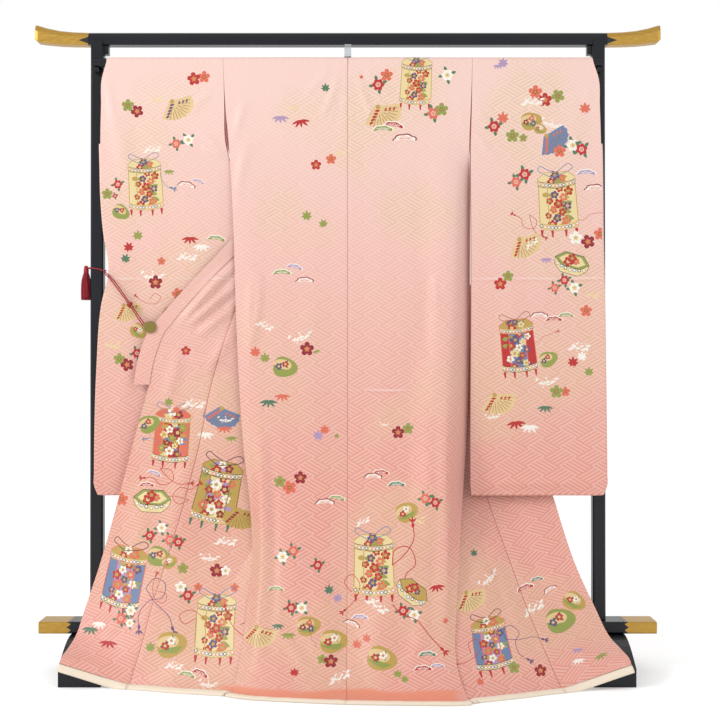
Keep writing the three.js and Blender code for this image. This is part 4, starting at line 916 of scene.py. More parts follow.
class Drawing:
    """Outlines with their inks, later ones over earlier ones."""

    def __init__(self):
        self.shapes = []

    def add(self, outline, ink):
        self.shapes.append((np.asarray(outline, float), ink))

    def disc(self, x, y, r, ink, sides=9):
        self.add(ring(np.full(sides, r), x, y), ink)

    def leaf(self, x, y, length, width, turn, ink):
        t = np.array([0, 0.2, 0.5, 0.8, 1])
        half = np.array([0, 0.38, 0.5, 0.3, 0]) * width
        px = np.concatenate([t, t[-2:0:-1]]) * length
        py = np.concatenate([half, -half[-2:0:-1]])
        self.add(turned(px, py, x, y, turn), ink)

    def line(self, points, width, ink):
        p = np.asarray(points, float)
        way = np.gradient(p, axis=0)
        way /= np.maximum(np.linalg.norm(way, axis=1), 1e-9)[:, None]
        side = np.stack([-way[:, 1], way[:, 0]], axis=1) * width / 2
        for a, b, sa, sb in zip(p, p[1:], side, side[1:]):
            self.add([a + sa, a - sa, b - sb, b + sb], ink)

    def curve(self, points, width, ink, count):
        knots, t = np.linspace(0, 1, len(points)), np.linspace(0, 1, count)
        self.line(np.stack([smooth(knots, values, t) for values in zip(*points)], axis=1), width, ink)

    def tassel(self, x, y, turn, ink):
        for k in (-1, 0, 1):
            self.leaf(x, y, 15, 5, turn + k * 0.75, ink)
        self.leaf(x, y, 15, 8, turn + math.pi, ink)

    def put(self, other, x, y, scale=1.0, turn=0.0, flip=False):
        for outline, ink in other.shapes:
            self.add(turned(outline[:, 0] * (-1 if flip else 1), outline[:, 1], x, y, turn, scale), ink)
        return self


def plum(ink, heart="coral"):
    d = Drawing()
    a = np.arange(30) * 2 * math.pi / 30
    d.add(ring(11 + 7.6 * np.abs(np.cos(2.5 * a)) ** 0.62, turn=0.3), ink)
    d.disc(0, 0, 6.4, heart)
    for k in range(5):
        t = 0.3 + k * 2 * math.pi / 5
        d.line([(0, 0), (9 * math.cos(t), 9 * math.sin(t))], 1.4, "gold")
    d.disc(0, 0, 2.2, "gold", sides=6)
    return d


def maple(ink):
    d = Drawing()
    for k in range(7):
        turn = math.radians(90 + (k - 3) * 46)
        d.leaf(0, 0, 21 - 1.4 * abs(k - 3) ** 1.4, 8.5, turn, ink)
    d.disc(0, 0, 5.5, ink)
    d.line([(0, -2), (2, -15)], 1.5, ink)
    return d


def bamboo(ink):
    d = Drawing()
    for turn, length in ((-163, 30), (-134, 29), (-92, 24), (-48, 29), (-17, 30)):
        d.leaf(0, 3, length, 8, math.radians(turn), ink)
    return d


def pine(ink, rim="white"):
    d = Drawing()
    a = np.linspace(0, math.pi, 19)
    lobes = 1 + 0.16 * np.abs(np.sin(a * 3.5))
    for width, height, shade in ((29, 17, rim), (25.5, 14, ink)):
        top = np.stack([np.cos(a) * width * lobes, np.sin(a) * height * lobes - 2], axis=1)
        d.add(np.concatenate([top, [(-width * 0.5, 1.5), (width * 0.5, 1.5)]]), shade)
    other = "white" if ink != "white" else "coral"
    for k in range(-3, 4):
        d.line([(k * 2.6, 3), (k * 6.2, 12 - abs(k) * 2.0)], 1.5, other)
    return d


def camellia(ink, heart="gold"):
    d = Drawing()
    for k in (0.4, 1.9, 3.3, 4.9):
        d.leaf(11 * math.cos(k), 11 * math.sin(k), 15, 9, k, "green")
    a = np.arange(24) * 2 * math.pi / 24
    d.add(ring(14.6 + 2.4 * np.cos(6 * a)), ink)
    edge = "white" if ink != "white" else "coral"
    d.add(ring(np.full(10, 7)), "pink" if ink != "white" else "cream")
    for k in range(5):
        t = k * 1.256 + 0.5
        d.disc(5.6 * math.cos(t), 5.6 * math.sin(t), 1.1, edge, sides=5)
    d.disc(0, 0, 2.7, heart, sides=7)
    return d


def mist(seed, ink="white"):
    """Frost of small drops that trails off to both sides."""
    d, rng = Drawing(), np.random.default_rng(seed)
    for k in range(9):
        x = -30 + k * 6.5 + rng.uniform(-3, 3)
        d.leaf(x - 5, rng.uniform(-9, 9), rng.uniform(11, 19), rng.uniform(4, 7.5), rng.uniform(-0.2, 0.8), ink)
    for k in range(14):
        d.disc(rng.uniform(-32, 32), rng.uniform(-14, 15), rng.uniform(1.4, 3.4), ink, sides=6)
    return d


def fan_shell(ground, bands):
    """Ribbed clam half, its hinge at the top left."""
    d = Drawing()
    a = np.radians(np.linspace(-128, 18, 17))
    reach = 50 + 3.5 * np.sin((a + 1) * 2.2) + 1.6 * np.cos(np.arange(17) * math.pi)
    edge = np.stack([reach * np.cos(a) * 1.04, reach * np.sin(a) * 0.92], axis=1)
    d.add(np.concatenate([[(8, 9), (-7, 8)], edge]), ground)
    for k, t in enumerate(np.radians(np.linspace(-116, 6, 11))):
        start = 14 if k % 2 else 25
        c, s = math.cos(t), math.sin(t)
        d.line([(start * c, start * s * 0.92), (47 * c, 43 * s)], 1.3, "deep_gold")
    for k in range(5):
        r = 8 + k * 9
        d.leaf(r * math.cos(-1.95) - 5, r * math.sin(-1.95) * 0.92 + 3, 13 - k * 0.6, 6, 0.1 + k * 0.08, bands)
    for k in range(3):
        r = 22 + k * 10
        d.leaf(r * math.cos(0.1) - 2, r * math.sin(0.1) + 3, 11, 4.5, -1.9, bands)
    d.disc(0, 6, 6, "gold")
    return d


def clam(ground, seed, blossoms):
    """Painted shell, with flowers over half of it and a mist over the rest."""
    d, rng = Drawing(), np.random.default_rng(seed)
    a = np.linspace(0, 2 * math.pi, 22, endpoint=False)
    d.add(ring(37 + 4 * np.cos(a + 0.6) + 3 * np.cos(3 * a), squash=0.84), ground)
    d.add(ring(24 + 3 * np.cos(2 * a), -4, 5, squash=0.74), "sand")
    d.add([(-32, -12), (-12, -20), (14, -24), (32, -10), (18, -9), (-4, -8)], "lime")
    for k, ink in enumerate(blossoms):
        turn = 1.2 + k * 2.0
        x, y = 14 * math.cos(turn) + rng.uniform(-3, 3), 10 * math.sin(turn) - 2
        for j in (0, 2.1, 4.2):
            d.leaf(x, y, 14, 7, turn + j, "green")
        d.put(plum(ink, "cream" if ink != "white" else "coral"), x, y, 0.56, turn)
    return d


def scene_on(d, left, right, low, high, seed, inks, count):
    """Blossoms and drifts in a field."""
    rng = np.random.default_rng(seed)
    for k in range(count + 1):
        x, y = rng.uniform(left + 8, right - 14), rng.uniform(low + 4, high - 4)
        d.leaf(x - 8, y, rng.uniform(16, 28), rng.uniform(8, 13), rng.uniform(-0.4, 0.6), inks[-1 - k % 2])
    for k in range(count):
        x = left + (right - left) * (0.18 + 0.64 * ((k * 0.618 + 0.2) % 1))
        y = low + (high - low) * (k + 0.6) / (count + 0.2)
        for j in range(3):
            d.leaf(x, y, 10, 5, rng.uniform(0, 6.28), "green" if j else "lime")
        blossom = plum(inks[k % (len(inks) - 2)], "gold" if k % 3 else "cream")
        d.put(blossom, x, y, rng.uniform(0.45, 0.72), rng.uniform(0, 6))


def beads(d, left, right, level, dip, height, seed):
    """Carved rim: a pale band of rings and crossed lines along the bent edge of the box."""
    xs = np.linspace(left, right, 12)
    lower = level - dip * (1 - np.abs(2 * (xs - left) / (right - left) - 1)) ** 0.5
    d.add(list(zip(xs, lower + height)) + list(zip(xs, lower))[::-1], "cream")
    for k, (x, y) in enumerate(zip(xs[:-1] + (right - left) / 22, (lower[:-1] + lower[1:]) / 2)):
        d.disc(x, y + height / 2, height * 0.36, ("blue", "ink", "gold", "coral")[(k + seed) % 4], sides=7)
        d.disc(x, y + height / 2, height * 0.23, "white", sides=6)
    for shift in (0, height):
        d.line(list(zip(xs, lower + shift)), 1.4, "gold" if seed % 2 else "ink")


def box(seed, ground, side, top, inks, frame="gold", feet="red", bow="ink"):
    """Six-sided shell box, its lid bound with a cord; about 100 wide and 160 high."""
    d = Drawing()
    d.curve([(-30, 74), (-44, 84), (-38, 94), (-20, 84), (-4, 78)], 1.8, bow, 14)
    d.curve([(4, 78), (16, 88), (32, 96), (42, 86), (28, 76)], 1.8, bow, 14)
    for x in (-44, -18, 16, 42):
        toe = -86 + abs(x) * 0.12
        d.add([(x - 4, -64), (x + 4, -64), (x + 1.5, toe), (x - 1.5, toe)], feet)
    edges = ((-48, -58), (-25, -67), (24, -67), (48, -58))
    for (xa, ya), (xb, yb), ink in zip(edges, edges[1:], (side, ground, side)):
        d.add([(xa, ya), (xb, yb), (xb * 0.94, yb + 110), (xa * 0.94, ya + 110)], ink)
    scene_on(d, -44, 44, -56, 40, seed, inks, 13)
    for x, y in edges:
        d.line([(x, y), (x * 0.94, y + 110)], 2.0, frame)
    beads(d, -49, 49, -58, 10, 13, seed)
    lid = [(-47, 50), (-26, 40), (24, 40), (47, 50), (46, 64), (28, 77), (-28, 77), (-46, 64)]
    d.add(lid, top)
    scene_on(d, -34, 34, 50, 74, seed + 9, inks, 3)
    beads(d, -47, 47, 46, 9, 12, seed + 1)
    d.line(lid + lid[:1], 1.6, frame)
    d.curve([(-30, 74), (-12, 66), (6, 70), (28, 76)], 1.8, bow, 10)
    return d


def lid(seed, rim, inks):
    """Box lid laid on its back: a six-sided dish."""
    d = Drawing()
    outer = [(-46, 4), (-24, 24), (26, 24), (46, 4), (24, -12), (-24, -12)]
    d.add([(-46, 4), (-24, -12), (24, -12), (46, 4), (43, -14), (23, -30), (-23, -30), (-43, -14)], "cream")
    for k in range(7):
        x = -36 + k * 12
        y = -14 + abs(k - 3) * 3.0 - 6
        d.disc(x, y, 5.2, ("ink", "gold", "blue")[(k + seed) % 3], sides=7)
        d.disc(x, y, 3.4, "white", sides=6)
    d.add(outer, rim)
    d.add([(x * 0.78, 5 + (y - 5) * 0.72) for x, y in outer], "cream" if seed % 2 else "gold")
    scene_on(d, -26, 26, -3, 15, seed, inks, 3)
    d.line(outer + outer[:1], 1.5, "ink")
    d.line([(-46, 4), (-43, -14), (-23, -30), (23, -30), (43, -14), (46, 4)], 1.3, "ink")
    return d


def cords(paths, ink, width=2.2):
    """Loose cords, a tassel at the end of each."""
    d = Drawing()
    for p in paths:
        d.curve(p, width, ink, 8 + 5 * len(p))
        (xa, ya), (xb, yb) = p[-2], p[-1]
        d.tassel(xb, yb, math.atan2(yb - ya, xb - xa), ink)
    return d


MOTIFS = {
    "mist": mist(3), "mist_b": mist(8), "mist_cream": mist(5, "cream"),
    "fan_cream": fan_shell("sand", "red"), "fan_violet": fan_shell("sand", "violet"),
    "fan_blue": fan_shell("blue", "coral"), "fan_gold": fan_shell("gold", "crimson"),
    "clam_gold": clam("gold", 1, ["white", "red"]), "clam_lime": clam("lime", 2, ["red", "violet"]),
    "clam_cream": clam("gold", 4, ["coral", "crimson", "violet"]),
    "box_red": box(
        2, "red", "coral", "coral", ["cream", "crimson", "white", "lime", "blue", "gold"], bow="blue"),
    "box_gold": box(
        3, "cream", "gold", "gold", ["red", "crimson", "white", "coral", "lilac", "lime"], "deep_gold",
        "green"),
    "box_lilac": box(4, "lilac", "blue", "gold", ["red", "coral", "white", "violet", "gold", "lime"], "coral"),
    "box_cream": box(
        5, "cream", "cream", "cream", ["red", "coral", "violet", "red", "lime", "gold"], bow="blue"),
    "box_night": box(
        6, "blue", "red", "gold", ["red", "cream", "violet", "white", "violet", "lime"], "coral",
        bow="deep_gold"),
    "lid_gold": lid(1, "lime", ["red", "coral", "violet", "white"]),
    "lid_cream": lid(2, "gold", ["red", "violet", "coral", "cream"]),
    "knot_red": cords([
        [(0, 0), (30, 26), (62, 8), (48, -34), (10, -40), (-14, -70)],
        [(0, 0), (44, 2), (84, 16), (110, 50)],
    ], "red"),
    "knot_ink": cords([
        [(0, 0), (26, 22), (52, 4), (40, -30), (4, -34), (-26, -64), (-30, -104)],
        [(0, 0), (20, -40), (50, -80), (58, -120)],
    ], "violet", 1.9),
    "trail_red": cords([[(0, 0), (22, -26), (60, -40), (92, -78), (128, -118)]], "red"),
    "trail_blue": cords([[(0, 0), (8, -24), (30, -44), (52, -48)]], "blue", 1.8),
    "loops_red": cords([[(0, 0), (34, 26), (60, 0), (30, -26), (-6, -20), (-42, 2), (-66, 30)]], "red"),
}
# Each plant in its inks: the petals' or needles', then the heart's or rim's where it isn't the usual one.
for name, draw, kinds in (
    ("plum", plum, ("red", "crimson", "coral red", "white cream", "lime olive")),
    ("camellia", camellia, ("red", "white", "coral")),
    ("maple", maple, ("red", "lime", "lilac", "green", "coral", "white")),
    ("bamboo", bamboo, ("green", "red", "coral", "white", "lilac", "lime")),
    ("pine", pine, ("lime", "white crimson", "red", "lilac", "green")),
):
    for kind in kinds:
        inks = kind.split()
        MOTIFS[name + "_" + inks[0]] = draw(*inks)


# ---------- Silk and the stand's materials ----------
# Motif inks by number. Alpha says how much of the silk they cover.
INK_NAMES = {
    "none": (0, 0, 0), "white": (250, 244, 232), "cream": (238, 216, 160), "gold": (194, 160, 80),
    "deep_gold": (146, 108, 52), "red": (190, 40, 36), "crimson": (150, 22, 40), "coral": (226, 110, 86),
    "green": (84, 122, 92), "lime": (150, 158, 74), "olive": (128, 112, 60), "lilac": (178, 150, 186),
    "violet": (104, 74, 118), "blue": (112, 132, 168), "ink": (62, 46, 46), "pink": (238, 160, 150),
    # The seam ink is painted shade, laid along the overlap's seam.
    "sand": (232, 200, 146), "seam": (196, 116, 106),
}
INK = {name: i for i, name in enumerate(INK_NAMES)}
INKS = np.array([(*srgb(*rgb)[:3], 0 if name == "none" else 1) for name, rgb in INK_NAMES.items()])


# The lattice's cell, a stripe with its gap, and how far the stripes slant: 30 degrees.
CELL, STRIPE = 0.0425, 0.0085
SIN30, COS30 = 0.5, 0.866
# Storage creases, level across each panel: height, and how near and how far from the middle they run.
CREASES = ((1.033, 0.3, 2.0), (0.743, -1.0, 0.26))
# Each is painted light, a painted highlight along the ridge and a painted shade under it: drop, width, strength
# and colour.
CREASE_HIGHLIGHT_AND_SHADE = ((0.0, 0.0032, 0.5, srgb(255, 238, 230)), (0.0065, 0.004, 0.3, srgb(226, 150, 142)))


def damask(m, u, v):
    """Cypress-fence lattice: stripes, 0 to 1, that slant the other way in every second cell."""
    one = m.plus(m.times(u, SIN30), m.times(v, COS30))
    two = m.minus(m.times(v, COS30), m.times(u, SIN30))
    cells = m.plus(*(m.math("FLOOR", m.math("DIVIDE", way, CELL)) for way in (one, two)))
    chosen = m.add("Mix", data_type="FLOAT")
    m.put(chosen.inputs[0], m.math("MODULO", m.math("ABSOLUTE", cells), 2.0))
    m.put(chosen.inputs[2], one)
    m.put(chosen.inputs[3], two)
    return m.ramp(m.math("SINE", m.times(chosen.outputs[0], 2 * math.pi / STRIPE)), -0.75, 0.45)


def silk_material(name, turn=0.0, ruled=1.0):
    """Pale damask, ruled by the weave and misted in cream, with the motifs' inks from the dye attribute."""
    m = Nodes(name)
    uv = m.add("UVMap", uv_map="cloth")
    u, v, _ = m.add("SeparateXYZ", {0: m.add("Mapping", {"Vector": uv, "Rotation": (0, 0, turn)})}).outputs
    x, _, height = m.add("SeparateXYZ", {0: m.add("TexCoord").outputs["Object"]}).outputs
    line = damask(m, u, v)
    haze = m.add("Attribute", attribute_name="haze").outputs["Fac"]
    cloud = m.ramp(m.plus(m.noise(uv, 3.2, 3.0, 0.55), m.times(haze, 0.3)), 0.56, 0.86)
    look = m.mix(m.ramp(height, 0.5, 1.5), srgb(230, 150, 132), srgb(246, 208, 197))
    look = m.mix(m.times(cloud, 0.1), look, srgb(250, 222, 196))
    look = m.mix(m.times(line, 0.4 * ruled), look, srgb(253, 222, 212))
    look = m.mix(m.times(m.minus(1.0, line), cloud, 0.42 * ruled), look, srgb(212, 190, 124))
    # Turned-under lining shows coral where the back lies on the floor.
    low = m.ramp(m.plus(height, m.times(m.noise(uv, 5.0, 2.0), 0.03)), 0.042, 0.036)
    middle = m.ramp(m.math("ABSOLUTE", m.plus(x, 0.02)), 0.3, 0.27)
    look = m.mix(m.times(low, middle, 0.75), look, srgb(240, 140, 108))
    level = m.plus(height, m.times(m.noise(uv, 7.0, 2.0), 0.009))
    from_middle = m.math("ABSOLUTE", x)
    # The creases are drawn in colour only: a painted highlight on each ridge and a painted shade below it.
    for crease, inner, outer in CREASES:
        across = m.times(m.math("GREATER_THAN", from_middle, inner), m.math("LESS_THAN", from_middle, outer))
        # A noise mask that breaks up the painted crease highlight and shade.
        patchy = m.times(across, m.ramp(m.noise(uv, 9.0, 1.0), 0.38, 0.6))
        for drop, width, strength, shade in CREASE_HIGHLIGHT_AND_SHADE:
            ridge = m.ramp(m.distance(level, crease - drop), width, 0.0)
            look = m.mix(m.times(ridge, patchy, strength), look, shade)
    # A thin painted shade lies along the back's centre seam.
    at_seam = m.times(m.ramp(m.math("ABSOLUTE", u), 0.002, 0.0008), m.math("LESS_THAN", from_middle, 0.03))
    look = m.mix(m.times(at_seam, 0.55), look, srgb(176, 96, 92))
    dye = m.add("VertexColor", layer_name="dye")
    m.set(Base_Color=m.mix(dye.outputs[1], look, dye.outputs[0]), Roughness=0.46)
    m.set(Sheen_Weight=0.35, Sheen_Roughness=0.4, Specular_IOR_Level=0.4)
    weave = m.noise(m.add("Mapping", {"Vector": uv, "Scale": (1, 4, 1)}), 900.0, 1.0)
    m.bump(m.plus(m.times(line, 0.7), m.times(weave, 0.3)), 0.16, 0.0006)
    return m.material


def plain_cloth(name, color, roughness=0.6, painted_glow=None, strength=0.0):
    m = Nodes(name)
    uv = m.add("UVMap", uv_map="cloth")
    soft = m.noise(uv, 30.0, 3.0)
    m.set(Base_Color=m.mix(m.times(soft, 0.25), color, srgb(238, 222, 196)), Roughness=roughness)
    m.set(Sheen_Weight=0.3)
    # The emission glow is painted light, as the cloth is no lamp.
    if painted_glow:
        m.set(Emission_Color=painted_glow, Emission_Strength=strength)
    m.bump(m.noise(uv, 700.0, 1.0), 0.12, 0.0004)
    return m.material


def lacquer_material():
    m = Nodes("black_lacquer")
    where = m.add("TexCoord").outputs["Object"]
    patchy = m.noise(where, 4.0, 4.0)
    m.set(Base_Color=m.mix(patchy, srgb(6, 8, 14), srgb(14, 18, 30)), Roughness=m.ramp(patchy, -1.2, 4.0))
    m.set(Specular_IOR_Level=0.25, Coat_Weight=0.15, Coat_Roughness=0.1)
    m.round_edges(0.0022)
    return m.material


SILK = silk_material("silk")
SILK_SWEPT = silk_material("silk_swept", turn=math.radians(-14))
COLLAR_SILK = silk_material("collar_silk", ruled=0.8)
# Painted light: the lining glows a little by emission, lifting the shade in the folds and gaps.
LINING = plain_cloth("lining", srgb(250, 186, 178), painted_glow=srgb(236, 120, 116), strength=0.12)
PADDING = plain_cloth("padded_lining", srgb(250, 234, 212), 0.55)
LACQUER = lacquer_material()


# ---------- The garment ----------
def declare(o, node, slot, **sheet):
    """The piece rides the one body and takes the node's place; sheet is not used."""
    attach(o, "root")
    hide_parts(node)


def lines(start, end, count, extra=()):
    return np.unique(np.round(np.concatenate([np.linspace(start, end, count), extra]), 6))


HANDS = ((-1, "left"), (1, "right"))
PANELS = {}
# Heights of the lower edges, and the run along the cloth to the places where something changes.
BACK_HEM_Z, FRONT_HEM_Z = 5.0, {-1: 10.0, 1: 8.0}
SWEEP_START = ROD_RUN + ROD_Z - SWEEP_Z
SLEEVE_DEEP, WRIST = ROD_Z - SLEEVE_HEM_Z, ROD_Z - WRIST_Z
HALF_WAY = ROD_RUN / 2
BODY_EDGE, OVERLAP_EDGE = 7.996, 8.004  # counts of c on both sides of the seam between front and overlap
for hand, side in HANDS:
    body = body_surface(hand)
    end = ROD_RUN + ROD_Z - FRONT_HEM_Z[hand]
    stops = [BACK_HEM_Z - ROD_Z, 60 - ROD_Z, 0, HALF_WAY, ROD_RUN, ROD_RUN + WRIST, end - 60, end]
    PANELS["body_" + side] = Panel(
        body, lines(0, 10.996, 38, (0.06, 7.91, BODY_EDGE, 10.9)), stops,
        lambda q: BACK_COUNT if q < HALF_WAY else SEAM_COUNT,
        lambda q, hand=hand: -hand if q < HALF_WAY else hand, -hand,
        middle=HALF_WAY, notch=(BODY_EDGE, HALF_WAY),
    )
    swept = Panel(
        body, lines(OVERLAP_EDGE, 11.99, 18, (8.09, 11.93)), [SWEEP_START, SWEEP_START + 60, end - 60, end],
        lambda q: OVERLAP_EDGE, lambda q, hand=hand: hand, -hand, middle=SWEEP_START - 1,
    )
    # Its cloth runs on from the body's.
    main = PANELS["body_" + side]
    above = float(np.interp(SWEEP_START, main.q, main.v)) - swept.v[0]
    swept.v, swept.lines_v = swept.v + above, swept.lines_v + above
    PANELS["overlap_" + side] = swept
    stops = [-SLEEVE_DEEP, -WRIST, 0, HALF_WAY, ROD_RUN, ROD_RUN + WRIST, ROD_RUN + SLEEVE_DEEP]
    PANELS["sleeve_" + side] = Panel(
        sleeve_surface(hand, {-1: SLEEVE_LEFT, 1: SLEEVE_RIGHT}[hand]), lines(0, 1, 38, (0.006, 0.994)), stops,
        lambda q: 0.0, lambda q, hand=hand: hand if q < HALF_WAY else -hand, hand, middle=HALF_WAY,
    )
